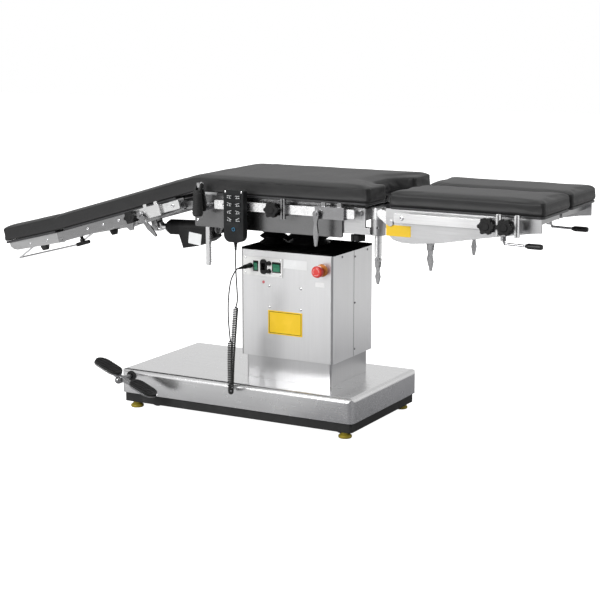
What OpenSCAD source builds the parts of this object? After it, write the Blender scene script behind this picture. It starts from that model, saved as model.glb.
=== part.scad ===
// Electric operating table: a lifting and tilting column on a flat base carries a hinged top.
// X runs along the table towards the foot end, Y away from the side with the control panel,
// Z up. The origin is on the floor, on the axis of the lifting column.

/* [Base] */
// Length of the base cover
base_l = 930; // [860:10:1040]
// Width of the base cover
base_w = 506; // [470:2:560]
// Distance from the column axis to the foot end of the base
base_foot = 308; // [270:2:360]
// Height of the top of the base cover above the floor
base_top = 143; // [138:1:170]
// Height of the bottom edge of the base cover
base_hem = 57; // [50:1:62]
// Height of the bottom edge of the rubber skirt
skirt_hem = 24; // [20:1:28]
// Thickness of the rubber skirt
skirt_t = 10; // [6:1:14]
// Rounding of the upper edges of the base cover
base_round = 16; // [8:1:22]
// Thickness of the stainless sheet of all covers
sheet = 2; // [1.5:0.5:3]
// Diameter of a levelling foot
foot_d = 46; // [36:1:52]
// Diameter of a caster wheel
wheel_d = 70; // [60:1:74]
// Gap between the raised caster wheels and the floor
wheel_gap = 3; // [2:0.5:5]

/* [Brake pedal] */
// Length of the rocker from end to end
pedal_l = 270; // [220:2:300]
// Width of a pedal tread
tread_w = 70; // [56:1:76]
// Slope of the rocker when the brake is on
pedal_slope = 23; // [15:1:28]
// Reach of the pedal shaft in front of the base
pedal_reach = 72; // [64:1:90]

/* [Column] */
// Length of the upper column cover along the table
column_l = 362; // [340:2:400]
// Depth of the upper column cover across the table
column_w = 298; // [280:2:330]
// Height of the bottom edge of the upper cover above the floor
column_hem = 225; // [222:1:240]
// Height of the column top plate above the floor
column_top = 602; // [590:1:608]
// Space between the faces of the upper and the lower cover
cover_step = 14; // [8:1:20]
// Length of the outer mast tube's outline along the table
mast_l = 170; // [150:2:190]
// Depth of the outer mast tube's outline across the table
mast_w = 140; // [120:2:160]
// Wall of the mast tubes
mast_wall = 10; // [8:0.5:14]
// Sliding clearance of the mast on each side
slide_gap = 0.4; // [0.3:0.1:0.8]
// Travel of the column below the pictured height
lift_down = 70; // [60:1:76]

/* [Tilt joint] */
// Height of the two crossing tilt axes above the floor
tilt_z = 640; // [636:1:644]
// Radius of the tilt pins
tilt_pin_r = 9; // [7:0.5:11]
// Clearance of a pin in its bore
pin_gap = 0.05; // [0.03:0.01:0.09]
// Outer radius of the bellows over the tilt joint
bellows_r = 66; // [64:1:72]
// Outer radius of the bellows over the tilt drive
side_bellows_r = 50; // [40:1:50]
// Depth of a bellows fold
fold_depth = 16; // [10:1:17]

/* [Seat section] */
// Width of the cushions
top_w = 500; // [480:2:540]
// Height of the underside of the side plates above the floor
frame_z = 678; // [676:1:684]
// Height of the side plates
plate_h = 110; // [104:1:116]
// Thickness of the side plates
plate_t = 8; // [6:0.5:10]
// Distance from the table's middle to the outer face of a side plate
plate_y = 240; // [238:0.5:242]
// Distance from the column axis to the head end of the side plates
plate_head = 307; // [304:1:312]
// Distance from the column axis to the foot end of the side plates
plate_foot = 260; // [240:2:280]
// Distance from the column axis to the foot end of the seat cushion
seat_foot = 355; // [346:1:357]
// Thickness of the cushion boards
board_t = 9; // [6:0.5:10]
// Thickness of the seat and back cushions
pad_t = 50; // [40:1:60]
// Rise of a cushion's middle above its edge
pad_crown = 3; // [1:0.5:6]
// Depth of the cut-out in the seat cushion
cut_depth = 73; // [50:1:90]
// Half width of the cut-out at its mouth
cut_mouth = 103; // [80:1:120]
// Half width of the cut-out at its bottom
cut_floor = 38; // [25:1:60]

/* [Accessory rails] */
// Height of an accessory rail
rail_h = 30; // [25:0.5:32]
// Thickness of an accessory rail
rail_t = 10; // [8:0.5:11]
// Distance from a side plate's outer face to the back of the rail
rail_gap = 22; // [20:0.5:26]
// Distance from the column axis to the head end of the seat rail
rail_head = 209; // [200:1:215]
// Distance from the column axis to the foot end of the seat rail
rail_foot = 320; // [310:1:324]

/* [Back and head sections] */
// Distance from the column axis to the back hinge
hinge_x = 296; // [293:1:298]
// Height of the back hinge above the floor
hinge_z = 752; // [748:1:756]
// Radius of the hinge pins of the back
hinge_pin_r = 10; // [8:0.5:12]
// Fall of the back section below the level
back_angle = 16.5; // [10:0.5:20]
// Distance from the back hinge to the head hinge
back_l = 610; // [580:5:640]
// Rise of the head section from the line of the back
head_angle = 2.6; // [0:0.1:4]
// Length of the head section
head_l = 248; // [220:2:280]
// Height of the side bars of the back
bar_h = 36; // [30:1:38]
// Radius of the head hinge pins
head_pin_r = 6; // [4:0.5:8]
// Diameter of the wire of the head release bail
bail_d = 7; // [5:0.5:9]

/* [Kidney bridge] */
// Length of the bridge plate along the table
bridge_l = 60; // [50:1:62]
// Pitch radius of the pinions
pinion_r = 11.5; // [11:0.1:12]
// Number of teeth of a pinion
pinion_teeth = 12; // [11:1:13]
// Width of a rack bar
rack_w = 15; // [12:1:16]
// Reach of the rack bars below the bridge plate
rack_l = 244; // [200:2:260]
// Length of the crank grip
grip_l = 105; // [90:1:106]
// Radius of the crank grip at its thick end
grip_r = 19; // [15:0.5:20]

/* [Back actuator] */
// Distance of the actuator from the table's middle
actuator_y = 150; // [130:2:170]
// Diameter of the actuator tube
actuator_d = 54; // [46:1:58]
// Radius of the actuator's rod
actuator_rod_r = 11; // [8:0.5:13]

/* [Leg sections] */
// Distance from the column axis to the head end of a leg cushion
leg_head = 422; // [418:1:430]
// Distance from the column axis to the foot end of a leg cushion
leg_foot = 958; // [900:2:1000]
// Gap between the two leg cushions
leg_split = 6; // [2:1:20]
// Drop of the leg boards below the seat board
leg_drop = 4; // [2:0.5:6]
// Thickness of the leg cushions
leg_pad_t = 44; // [36:1:50]
// Distance from the column axis to the leg sockets
socket_x = 373; // [370:1:376]
// Distance from the table's middle to a leg socket
socket_y = 203; // [201:1:204]
// Radius of a leg socket
socket_r = 24; // [20:1:24]
// Radius of a leg post
post_r = 12; // [10:0.5:14]
// Distance from the column axis to the leg fold axis
fold_x = 432; // [428:1:436]
// Height of the leg fold axis above the floor
fold_z = 738; // [734:1:742]

/* [Handset] */
// Width of the handset
handset_w = 76; // [66:1:80]
// Length of the handset
handset_l = 175; // [150:1:190]
// Thickness of the handset
handset_t = 26; // [20:1:30]
// Diameter of the handset cord
cord_d = 4.6; // [3.5:0.1:5]
// Number of curls in the cord
curls = 76; // [60:1:78]
// Radius of the curls, to the middle of the cord
curl_r = 7; // [6:0.5:7]

/* [Hidden] */
$fn = 64;

steel = "silver";
white = "whitesmoke";
black = [0.12, 0.12, 0.13];
charcoal = [0.22, 0.22, 0.23];
touch = 0.3; // gap between pieces that rest on each other

// Base
base_head = base_foot - base_l;
base_y = base_w / 2;
base_corner = 20;
frame_inset = 8 + skirt_t;
frame_x = [base_head + frame_inset, base_foot - frame_inset];
frame_y = base_y - frame_inset;
floor_z = skirt_hem + 6;
floor_t = 8;
wall_t = 8;
foot_x = [base_head + 44, base_foot - 44];
foot_y = base_y - 35;
stem_r = 8;
caster_x = [base_head + 92, base_foot - 92];
caster_y = base_y - 84;
caster_trail = 18;
wheel_z = wheel_gap + wheel_d / 2;
carrier_z = wheel_z + wheel_d / 2 + 11;
carrier_t = 8;
guide_y = 120;
guide_r = 8;
shaft_r = 8;
pedal_x = base_head + 47;
pedal_z = base_top - 21;
pedal_y = -base_y - pedal_reach;
shaft_end = base_y - 57;
cam_y = 95;
cam_l = 14;
cam_r = 7;
cam_rest = 70;
cam_play = 0.8;
pedal_shift = 18;
tread_rise = 14;

// Column
column_x = column_l / 2;
column_y = column_w / 2;
cap_t = 6;
cap_z = column_top - cap_t;
lower_top = cap_z - 19 - lift_down;
lower_notch = 446; // top of the front wall, clear of the panel's boxes at the lowest lift
mast_foot = floor_z + floor_t;
mast_top = lower_top - 6;
inner_l = mast_l - 2 * mast_wall - 2 * slide_gap;
inner_w = mast_w - 2 * mast_wall - 2 * slide_gap;
inner_foot = mast_foot + 14 + lift_down;
screw_r = 14;
head_t = 10;
mast_hole = 6;

// Control panel
panel_x = [-170, -14];
panel_z = [508, 573];
panel_t = 2;
face_y = -column_y;
front_y = face_y - panel_t;
switch_z = 541;
switch_x = [-119.5, -38];
switch_w = [14, 28];
switch_h = 26;
rocker_in = 6;
rest_rock = 9;
inlet = [-88, 541];
inlet_w = 25;
inlet_h = 52;
fuse = [-66, 540.5];
stop = [138, 546];
stop_r = 20;
plug = [-139, 542];
plug_l = 81;

// Tilt joint
cheek_y = [33, 44];
hanger_x = [30, 42];
eye_r = tilt_pin_r + 7;
beam_z = [frame_z + 34, frame_z + 74];
beam_y = [50, 80];
hanger_z = beam_z[0];
bellows_wall = 2;
drive_turn = 29; // direction from the joint's bellows to the drive's bellows
drive_gap = bellows_r + side_bellows_r + 0.4;
drive_at = [-drive_gap * cos(drive_turn), -drive_gap * sin(drive_turn)];

// Seat section
plate_top = frame_z + plate_h;
plate_in = plate_y - plate_t;
pad_z = plate_top + board_t;
pad_base = pad_z - hinge_z;
pad_y = top_w / 2;
pad_edge = 14;
crown_inset = 44;
board_inset = 7;
cross_head = -225;
cross_foot = 236;
cross_t = 20;
rail_in = plate_y + rail_gap;
rail_out = rail_in + rail_t;
rail_z = plate_top - 26;
rail_round = 5;
carrier_in = plate_in - 8;
socket_foot = 691;
socket_top = 745;
post_top = 781;
knob_x = 31;
knob_z = rail_z;
knob_r = 27;
lever_x = 194;
frame_knob_at = [298, -200];

// Kidney bridge
crank_x = -(hinge_x - 49);
crank_z = 750;
crank_r = 8;
rack_pitch = PI * 2 * pinion_r / pinion_teeth;
rack_line = crank_x - pinion_r;
rack_back = rack_line - rack_w;
rack_y = [plate_in - 18, plate_in - 6];
bridge_x = [-250 - bridge_l / 2, -250 + bridge_l / 2];
bridge_z = [plate_top - 2, pad_z - touch];
bridge_y = plate_in - 4;
arm_y = [-rail_out - 9, -rail_out - 3];
arm_top = [crank_x - 10, crank_z + 76];

// Back and head sections
bend_back = 80;
bend_seat = bridge_x[1] + 3 + hinge_x;
bend_half = 12;
arm_in = plate_in - 7.7;
arm_out = plate_in - touch;
neck_w = 10;
neck_back = 25;
neck_head = 16;
head_base = pad_base - neck_w;
back_clevis = [-244, -34];
clamp_knob_u = -243;
clamp_lever_u = -207;
clamp_w = 17;

// Back actuator
act_pivot = [-250, 660];
clevis_at = [-hinge_x + back_clevis[0] * cos(back_angle) - back_clevis[1] * sin(back_angle),
    hinge_z + back_clevis[0] * sin(back_angle) + back_clevis[1] * cos(back_angle)];
act_reach = act_pivot[0] - clevis_at[0];
act_drop = act_pivot[1] - clevis_at[1];
act_len = sqrt(act_reach * act_reach + act_drop * act_drop);
act_fall = atan2(act_drop, act_reach);
act_pin_r = 8;

// Leg sections
leg_board_z = pad_z - leg_drop - board_t;
leg_plate_y = [235, 229];
arm_band = [212, 226];
release_x = 806;
release_z = 713;
release_y = 205;

// Handset and cord
handset_x = -112;
handset_top = 819;
handset_y = -rail_out - 10;
boot_l = 27;

function unit(v) = v / norm(v);
function mix(a, b, t) = a + (b - a) * t;

// A box between two corners, given as pairs of low and high values
module block(x, y, z) {
    translate([x[0], y[0], z[0]]) cube([x[1] - x[0], y[1] - y[0], z[1] - z[0]]);
}
module rod_x(r, x, y, z) {
    translate([x[0], y, z]) rotate([0, 90, 0]) cylinder(r = r, h = x[1] - x[0]);
}
module rod_y(r, y, x, z) {
    translate([x, y[1], z]) rotate([90, 0, 0]) cylinder(r = r, h = y[1] - y[0]);
}
module rod_z(r, z, x = 0, y = 0) {
    translate([x, y, z[0]]) cylinder(r = r, h = z[1] - z[0]);
}
// Plates cut from a flat outline, square to one axis
module plate_x(x) {
    translate([x[0], 0, 0]) rotate([90, 0, 90]) linear_extrude(x[1] - x[0]) children();
}
module plate_y(y) {
    translate([0, y[1], 0]) rotate([90, 0, 0]) linear_extrude(y[1] - y[0]) children();
}
module plate_z(z) {
    translate([0, 0, z[0]]) linear_extrude(z[1] - z[0]) children();
}
// Turns a piece that stands along Z so that it points towards the near side
module towards(x, y, z) {
    translate([x, y, z]) rotate([90, 0, 0]) children();
}
module both_sides() {
    children();
    mirror([0, 1, 0]) children();
}
module round_rect(x, y, r) {
    translate([x[0] + r, y[0]]) square([x[1] - x[0] - 2 * r, y[1] - y[0]]);
    translate([x[0], y[0] + r]) square([x[1] - x[0], y[1] - y[0] - 2 * r]);
    for (a = [x[0] + r, x[1] - r], b = [y[0] + r, y[1] - r]) translate([a, b]) circle(r);
}
// An outline with two round ends, as of a link between two pins
module strap(p, q, r, s) {
    d = q - p;
    lean = atan2(d[1], d[0]);
    open = acos((r - s) / norm(d));
    a = lean + open;
    b = lean - open;
    polygon([p + r * [cos(a), sin(a)], p + r * [cos(b), sin(b)],
        q + s * [cos(b), sin(b)], q + s * [cos(a), sin(a)]]);
    translate(p) circle(r);
    translate(q) circle(s);
}
module ring_wall(x, y, z, r, t) {
    difference() {
        plate_z(z) round_rect(x, y, r);
        plate_z([z[0] - 1, z[1] + 1])
            round_rect([x[0] + t, x[1] - t], [y[0] + t, y[1] - t], max(r - t, 1));
    }
}
module hex_bolt(r, l) {
    cylinder(r = r, h = l);
    translate([0, 0, l]) cylinder(r = 1.8 * r, h = 1.2 * r, $fn = 6);
}
// A surface through rings of points, closed at both ends
module skin(rings) {
    n = len(rings[0]);
    last = len(rings) - 1;
    polyhedron(points = [for (r = rings) each r], faces = concat(
        [[for (i = [0:n - 1]) i]],
        [for (k = [0:last - 1], i = [0:n - 1]) let (j = (i + 1) % n)
            each [[k * n + i, (k + 1) * n + i, (k + 1) * n + j],
                [k * n + i, (k + 1) * n + j, k * n + j]]],
        [[for (i = [n - 1:-1:0]) last * n + i]]));
}

// Base

module lid_outline(x, z, r) {
    translate([x[0], z[0]]) square([x[1] - x[0], z[1] - z[0] - r]);
    translate([x[0] + r, z[0]]) square([x[1] - x[0] - 2 * r, z[1] - z[0]]);
    for (a = [x[0] + r, x[1] - r]) translate([a, z[1] - r]) circle(r);
}
module lid_form(inset, low) {
    x = [base_head + inset, base_foot - inset];
    y = [-base_y + inset, base_y - inset];
    z = [low, base_top - inset];
    intersection() {
        plate_z(z) round_rect(x, y, base_corner - inset);
        plate_y(y) lid_outline(x, z, base_round - inset);
        plate_x(x) lid_outline(y, z, base_round - inset);
    }
}
module mast_opening(z, gap) {
    block([-mast_l / 2 - gap, mast_l / 2 + gap], [-mast_w / 2 - gap, mast_w / 2 + gap], z);
}
module base_cover() {
    color(steel) difference() {
        lid_form(0, base_hem);
        lid_form(sheet, base_hem - 1);
        mast_opening([base_top - 5, base_top + 1], mast_hole);
        rod_y(shaft_r + 4, [-base_y - 1, -base_y + 5], pedal_x, pedal_z);
    }
}
module base_skirt() {
    color(black) {
        ring_wall([base_head + 8, base_foot - 8], [-base_y + 8, base_y - 8],
            [skirt_hem, base_hem + 8], base_corner - 8, skirt_t);
        difference() {
            rod_y(shaft_r + 9, [-base_y - 6, -base_y], pedal_x, pedal_z);
            rod_y(shaft_r + 0.5, [-base_y - 7, -base_y + 1], pedal_x, pedal_z);
        }
    }
}
module base_frame() {
    y = [-frame_y, frame_y];
    color("gray") difference() {
        union() {
            plate_z([floor_z, floor_z + floor_t]) round_rect(frame_x, y, 4);
            ring_wall(frame_x, y, [floor_z, base_top - sheet], 4, wall_t);
            block([pedal_x - 16, pedal_x + 16], [shaft_end, shaft_end + 12],
                [floor_z, pedal_z + 16]);
            for (x = caster_x, s = [-1, 1])
                rod_z(guide_r, [floor_z, carrier_z + carrier_t + 8], x + 30, s * guide_y);
        }
        for (x = caster_x, s = [-1, 1])
            block([x - 42, x + 62], [s * caster_y - 34, s * caster_y + 34],
                [floor_z - 1, floor_z + floor_t + 1]);
        for (x = foot_x, s = [-1, 1]) rod_z(stem_r + 0.2, [floor_z - 1, floor_z + 9], x, s * foot_y);
        rod_y(shaft_r + pin_gap, [-base_y, shaft_end + 20], pedal_x, pedal_z);
    }
}
module levelling_feet() {
    r = foot_d / 2;
    color("goldenrod") for (x = foot_x, s = [-1, 1]) translate([x, s * foot_y, 0]) {
        rotate_extrude() polygon([[0, 0], [r - 2, 0], [r, 2], [r, 8], [r - 3, 11], [14, 15],
            [14, 22], [stem_r, 22], [stem_r, 62], [0, 62]]);
        difference() {
            rod_z(10, [floor_z + floor_t, floor_z + floor_t + 10], $fn = 6);
            rod_z(stem_r + 0.1, [floor_z, floor_z + floor_t + 11]);
        }
    }
}
module lower_column_cover() {
    x = column_x - cover_step;
    y = column_y - cover_step;
    color(steel) difference() {
        union() {
            ring_wall([-x, x], [-y, y], [base_top, lower_top], 8, sheet);
            plate_z([base_top, base_top + sheet]) round_rect([-x, x], [-y, y], 8);
        }
        mast_opening([base_top - 1, base_top + sheet + 1], 20);
        block([panel_x[0] + 30, stop[0] + 24], [-y - 1, -y + 9], [lower_notch, lower_top + 1]);
    }
}
module outer_mast() {
    x = mast_l / 2;
    y = mast_w / 2;
    color("gray") {
        difference() {
            union() {
                mast_opening([mast_foot, mast_top], 0);
                plate_z([mast_foot, mast_foot + 10]) round_rect([-x - 25, x + 25], [-y - 25, y + 25], 8);
            }
            block([-x + mast_wall, x - mast_wall], [-y + mast_wall, y - mast_wall],
                [mast_foot + 10, mast_top + 1]);
        }
        rod_z(screw_r, [mast_foot + 5, mast_top - 10]);
        for (a = [-1, 1], b = [-1, 1])
            translate([a * (x + 14), b * (y + 14), mast_foot + 8]) hex_bolt(5, 3);
    }
}
module caster_wheel() {
    r = wheel_d / 2;
    rotate_extrude() polygon([[5.3, 0], [12, 0], [12, 4], [r - 9, 4], [r - 9, 0], [r - 3, 0],
        [r, 3], [r, 15], [r - 3, 18], [r - 9, 18], [r - 9, 14], [12, 14], [12, 18], [5.3, 18]]);
}
module casters() {
    low = [carrier_z, carrier_z + carrier_t];
    pad_top = pedal_z - cam_l * cos(cam_rest) - cam_r - cam_play;
    color("gray") difference() {
        union() {
            for (x = caster_x) block([x - 45, x + 48], [-frame_y + 15, frame_y - 15], low);
            for (s = [-1, 1]) block(caster_x, [s * 150 - 15, s * 150 + 15], low);
            for (s = [-1, 1])
                block([pedal_x - 16, pedal_x + 14], [s * cam_y - 12, s * cam_y + 12],
                    [low[0], pad_top]);
        }
        for (x = caster_x, s = [-1, 1])
            rod_z(guide_r + pin_gap, [low[0] - 1, low[1] + 1], x + 30, s * guide_y);
        block([pedal_x - 18, pedal_x + 18], [shaft_end - 2, shaft_end + 14], [low[0] - 1, low[1] + 1]);
    }
    color(black) for (x = caster_x, s = [-1, 1]) translate([x, s * caster_y, 0]) {
        rod_z(20, [carrier_z - 6, carrier_z]);
        block([-9, caster_trail + 9], [-4.5, 4.5], [wheel_z, carrier_z - 6]);
        rod_y(5, [-26, 26], caster_trail, wheel_z);
        for (y = [24, -6]) towards(caster_trail, y, wheel_z) caster_wheel();
    }
}
module on_pedal() {
    translate([pedal_x, pedal_y, pedal_z]) rotate([0, pedal_slope, 0]) children();
}
tread_x = [[-pedal_l / 2 + pedal_shift, -6], [43, pedal_l / 2 + pedal_shift]];
module brake_pedal() {
    color(steel) {
        rod_y(shaft_r, [pedal_y, shaft_end + 16], pedal_x, pedal_z);
        lobe = [pedal_x - cam_l * sin(cam_rest), pedal_z - cam_l * cos(cam_rest)];
        for (s = [-1, 1]) plate_y([s * cam_y - 8, s * cam_y + 8])
            strap([pedal_x, pedal_z], lobe, shaft_r + 3, cam_r);
        on_pedal() {
            rod_y(13, [-10, 14], 0, 0);
            translate([0, -10, 0]) sphere(13);
            plate_y([-8, 8]) polygon([[-80, tread_rise], [-20, 2], [30, 2], [110, tread_rise],
                [110, tread_rise + 1], [-80, tread_rise + 1]]);
            for (x = tread_x) plate_z([tread_rise, tread_rise + 5])
                round_rect(x, [-tread_w / 2, tread_w / 2], tread_w / 2 - 1);
        }
    }
}
module pedal_treads() {
    rib = 8;
    color(black) on_pedal() for (x = tread_x) difference() {
        plate_z([tread_rise + 5, tread_rise + 12])
            round_rect([x[0] + 2, x[1] - 2], [-tread_w / 2 + 2, tread_w / 2 - 2], tread_w / 2 - 3);
        for (g = [x[0] + 14:rib:x[1] - 14])
            block([g, g + rib / 3], [-tread_w / 2, tread_w / 2], [tread_rise + 10, tread_rise + 13]);
    }
}

// Column

module inner_mast() {
    x = inner_l / 2;
    y = inner_w / 2;
    color("gray") difference() {
        union() {
            difference() {
                block([-x, x], [-y, y], [inner_foot, cap_z - head_t]);
                block([-x + mast_wall, x - mast_wall], [-y + mast_wall, y - mast_wall],
                    [inner_foot + 20, cap_z - head_t]);
            }
            plate_z([cap_z - head_t, cap_z])
                round_rect([-column_x + sheet, column_x - sheet], [-column_y + sheet, column_y - sheet], 8);
        }
        rod_z(screw_r + touch, [inner_foot - 1, inner_foot + 21]);
    }
    color("gray") difference() {
        union() {
            block([-19, 19], [-cheek_y[1], cheek_y[1]], [cap_z + touch, cap_z + 6]);
            both_sides() plate_y(cheek_y) strap([0, cap_z + 3], [0, tilt_z], 19, eye_r + 2);
        }
        rod_y(tilt_pin_r + pin_gap, [-cheek_y[1] - 1, cheek_y[1] + 1], 0, tilt_z);
        block([-30, 30], [-cheek_y[1] - 1, cheek_y[1] + 1], [cap_z - 30, cap_z + touch]);
    }
}
module column_cap() {
    color(black) difference() {
        plate_z([cap_z, column_top]) round_rect([-column_x, column_x], [-column_y, column_y], 10);
        rod_z(bellows_r - fold_depth - 1, [cap_z - 1, column_top + 1]);
    }
}
module upper_shell(z) {
    ring_wall([-column_x, column_x], [-column_y, column_y], z, 10, sheet);
}
module upper_cover_front() {
    z = [column_hem, cap_z];
    color(steel) difference() {
        upper_shell(z);
        block([-column_x - 1, column_x + 1], [-touch / 2, column_y + 1], [z[0] - 1, z[1] + 1]);
        block([panel_x[0] + 8, panel_x[1] - 6], [face_y - 1, face_y + 5],
            [panel_z[0] + 8, panel_z[1] - 8]);
        rod_y(14.5, [face_y - 1, face_y + 5], stop[0], stop[1]);
    }
}
module upper_cover_rear() {
    z = [column_hem, cap_z];
    lip = column_x - sheet;
    color(steel) {
        difference() {
            upper_shell(z);
            block([-column_x - 1, column_x + 1], [-column_y - 1, touch / 2], [z[0] - 1, z[1] + 1]);
        }
        for (s = [-1, 1]) block(s < 0 ? [-lip, -lip + 1.5] : [lip - 1.5, lip],
            [-14, 14], [z[0], z[1] - head_t - 2]);
    }
}
module rocker_box(i, grow, y) {
    block([switch_x[i] - switch_w[i] / 2 - grow, switch_x[i] + switch_w[i] / 2 + grow], y,
        [switch_z - switch_h / 2 - 2 - grow, switch_z + switch_h / 2 + 2 + grow]);
}
module control_panel() {
    color(white) difference() {
        union() {
            plate_y([front_y, face_y]) round_rect(panel_x, panel_z, 4);
            for (i = [0, 1]) rocker_box(i, 2.5, [front_y - 2, face_y + 22]);
        }
        for (i = [0, 1]) {
            rocker_box(i, touch, [front_y - 3, face_y + 19]);
            rod_x(1.5 + pin_gap, [switch_x[i] - switch_w[i] / 2 - 2, switch_x[i] + switch_w[i] / 2 + 2],
                face_y + rocker_in, switch_z);
        }
        plate_y([front_y - 1, face_y + 1]) round_rect([inlet[0] - inlet_w / 2 + 2,
            inlet[0] + inlet_w / 2 - 2], [inlet[1] - inlet_h / 2 + 2, inlet[1] + inlet_h / 2 - 2], 9);
    }
}
module rocker(i) {
    half = switch_w[i] / 2;
    color("seagreen") translate([switch_x[i], face_y + rocker_in, switch_z])
        rotate([rest_rock, 0, 0]) {
            plate_x([-half, half]) polygon([[6, -6], [6, 6], [-6, switch_h / 2],
                [-11, switch_h / 2], [-8.5, 0], [-11, -switch_h / 2], [-6, -switch_h / 2]]);
            rod_x(1.5, [-half - 1.5, half + 1.5], 0, 0);
        }
}
module switch_left() {
    rocker(0);
}
module switch_right() {
    rocker(1);
}
module power_inlet() {
    x = [inlet[0] - inlet_w / 2, inlet[0] + inlet_w / 2];
    z = [inlet[1] - inlet_h / 2, inlet[1] + inlet_h / 2];
    color(black) {
        difference() {
            union() {
                plate_y([front_y - 4, front_y]) round_rect(x, z, inlet_w / 2 - 1);
                plate_y([front_y, face_y + 26])
                    round_rect([x[0] + 2.5, x[1] - 2.5], [z[0] + 2.5, z[1] - 2.5], 8);
            }
            block([x[0] + 5, x[1] - 5], [front_y - 5, face_y + 14], [inlet[1] - 12, inlet[1] + 12]);
        }
        for (p = [[-4, -5], [4, -5], [0, 5]])
            rod_y(1.5, [face_y - 2, face_y + 15], inlet[0] + p[0], inlet[1] + p[1]);
        for (s = [-1, 1]) difference() {
            towards(fuse[0], front_y, fuse[1] + s * 13.5) cylinder(r1 = 8, r2 = 7, h = 11);
            block([fuse[0] - 5, fuse[0] + 5], [front_y - 12, front_y - 8],
                [fuse[1] + s * 13.5 - 1, fuse[1] + s * 13.5 + 1]);
        }
    }
}
module stop_collar() {
    color("orange") towards(stop[0], face_y, stop[1]) rotate_extrude() polygon([
        [11.3, -22], [14, -22], [14, 0], [21.5, 0], [21.5, 3], [18, 9], [11.3, 9]]);
}
module stop_button() {
    color("red") towards(stop[0], face_y, stop[1]) rotate_extrude() polygon(concat(
        [[0, -30], [11, -30], [11, 22], [stop_r - 3, 25], [stop_r, 28]],
        [for (a = [0:15:90]) [stop_r - 8 + 8 * cos(a), 36 + 8 * sin(a)]], [[0, 44]]));
}
module bellows(r, z) {
    folds = round((z[1] - z[0]) / 20);
    pitch = (z[1] - z[0]) / folds;
    inner = r - fold_depth;
    color(black) rotate_extrude() polygon(concat(
        [for (i = [0:folds - 1]) each [[inner, z[0] + i * pitch],
            [r, z[0] + (i + 0.5) * pitch]]], [[inner, z[1]]], [[inner - bellows_wall, z[1]]],
        [for (i = [folds - 1:-1:0]) each [[r - 2 * bellows_wall, z[0] + (i + 0.5) * pitch],
            [inner - bellows_wall, z[0] + i * pitch]]]));
}
module tilt_bellows() {
    z = [column_top, hanger_z];
    bellows(bellows_r, z);
    translate(drive_at) bellows(side_bellows_r, z);
}
module cord_plug() {
    color(black) towards(plug[0], front_y, plug[1]) rotate_extrude() polygon([[0, 0], [8, 0],
        [8.8, 1], [8.8, 12], [8, 13], [7.5, 13], [7.5, 40], [6.5, 44], [4.5, 46], [5.5, 50],
        [4.2, 56], [5, 60], [3.9, 66], [4.4, 70], [3.5, 76], [3.5, plug_l], [0, plug_l]]);
}

// Handset cord

handset_low = handset_top - handset_l;
cord_from = [handset_x, handset_y - handset_t / 2, handset_low - boot_l];
cord_to = [plug[0], front_y - plug_l, plug[1]];
cord_lead = [cord_from, cord_from - [0, 0, 10], [-112, -296, 560], [-108, -297, 500],
    [-105, -298, 450]];
cord_curl = [[-110, -299, 424], [-113, -300, 390], [-116, -300, 356], [-119, -300, 322],
    [-122, -300, 288], [-125, -300, 254], [-127, -300, 220], [-129, -300, 186], [-130, -300, 160],
    [-131, -300, 142], [-134.5, -295.2, 127.6], [-143, -283.5, 121.6], [-151.5, -271.8, 127.6],
    [-155, -267, 142], [-156, -266, 165], [-156, -266, 194], [-156, -266, 228],
    [-155, -266, 262], [-154, -266, 296]];
cord_tail = [[-157, -267, 330], [-160, -268, 380], [-160, -266, 440], [-152, -264, 500],
    [-141, -259, 530], cord_to - [0, 10, 0], cord_to];

// Points of a smooth curve through given points, n to a stretch
function curve(p, n) = [for (i = [0:len(p) - 2], k = [0:n - 1]) let (t = k / n,
    a = p[max(i - 1, 0)], b = p[i], c = p[i + 1], d = p[min(i + 2, len(p) - 1)])
    (2 * b + (c - a) * t + (2 * a - 5 * b + 4 * c - d) * t * t
        + (3 * b - a - 3 * c + d) * t * t * t) / 2];
function tangents(p) = [for (i = [0:len(p) - 1])
    unit(p[min(i + 1, len(p) - 1)] - p[max(i - 1, 0)])];
// Directions square to the tangents, carried along without twist
function carried(t, v) = [for (i = 0, w = v; i < len(t); i = i + 1,
    w = i < len(t) ? unit(w - t[i] * (w * t[i])) : w) w];
curl_turns = 8;
curl_path = concat(curve(cord_curl, 10), [cord_curl[len(cord_curl) - 1]]);
curl_bend = [136, 150]; // the curls lie 1.5 times as far apart in the bend below these heights
function openness(z) = 1.5 - 0.5 * min(1, max(0, (z - curl_bend[0]) / (curl_bend[1] - curl_bend[0])));
curl_way = [for (i = 0, s = 0; i < len(curl_path);
    s = s + (i < len(curl_path) - 1
        ? norm(curl_path[i + 1] - curl_path[i]) / openness(curl_path[i][2]) : 0), i = i + 1) [s, i]];
// Points along the middle of the curls, the same number to a curl
curl_axis = let (steps = curls * curl_turns, last = len(curl_path) - 1)
    [for (i = [0:steps]) let (f = lookup(i / steps * curl_way[last][0], curl_way),
        k = min(floor(f), last - 1)) mix(curl_path[k], curl_path[k + 1], f - k)];
curl_line = let (t = tangents(curl_axis), n = carried(t, [1, 0, 0]), last = len(curl_axis) - 1)
    [for (i = [0:last]) let (a = 360 * i / curl_turns,
        r = curl_r * min(1, i / curl_turns, (last - i) / curl_turns))
        curl_axis[i] + r * (cos(a) * n[i] + sin(a) * cross(t[i], n[i]))];
cord_line = concat(curve(concat(cord_lead, [cord_curl[0]]), 3), curl_line,
    [for (i = [1:3 * len(cord_tail) - 1])
        curve(concat([cord_curl[len(cord_curl) - 1]], cord_tail), 3)[i]], [cord_to]);
cord_gap = min([for (i = [0:len(curl_line) - 1],
    j = [i + 5:min(i + 26, len(curl_line) - 1)]) if (j > i + 4) norm(curl_line[i] - curl_line[j])])
    - cord_d;
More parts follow.
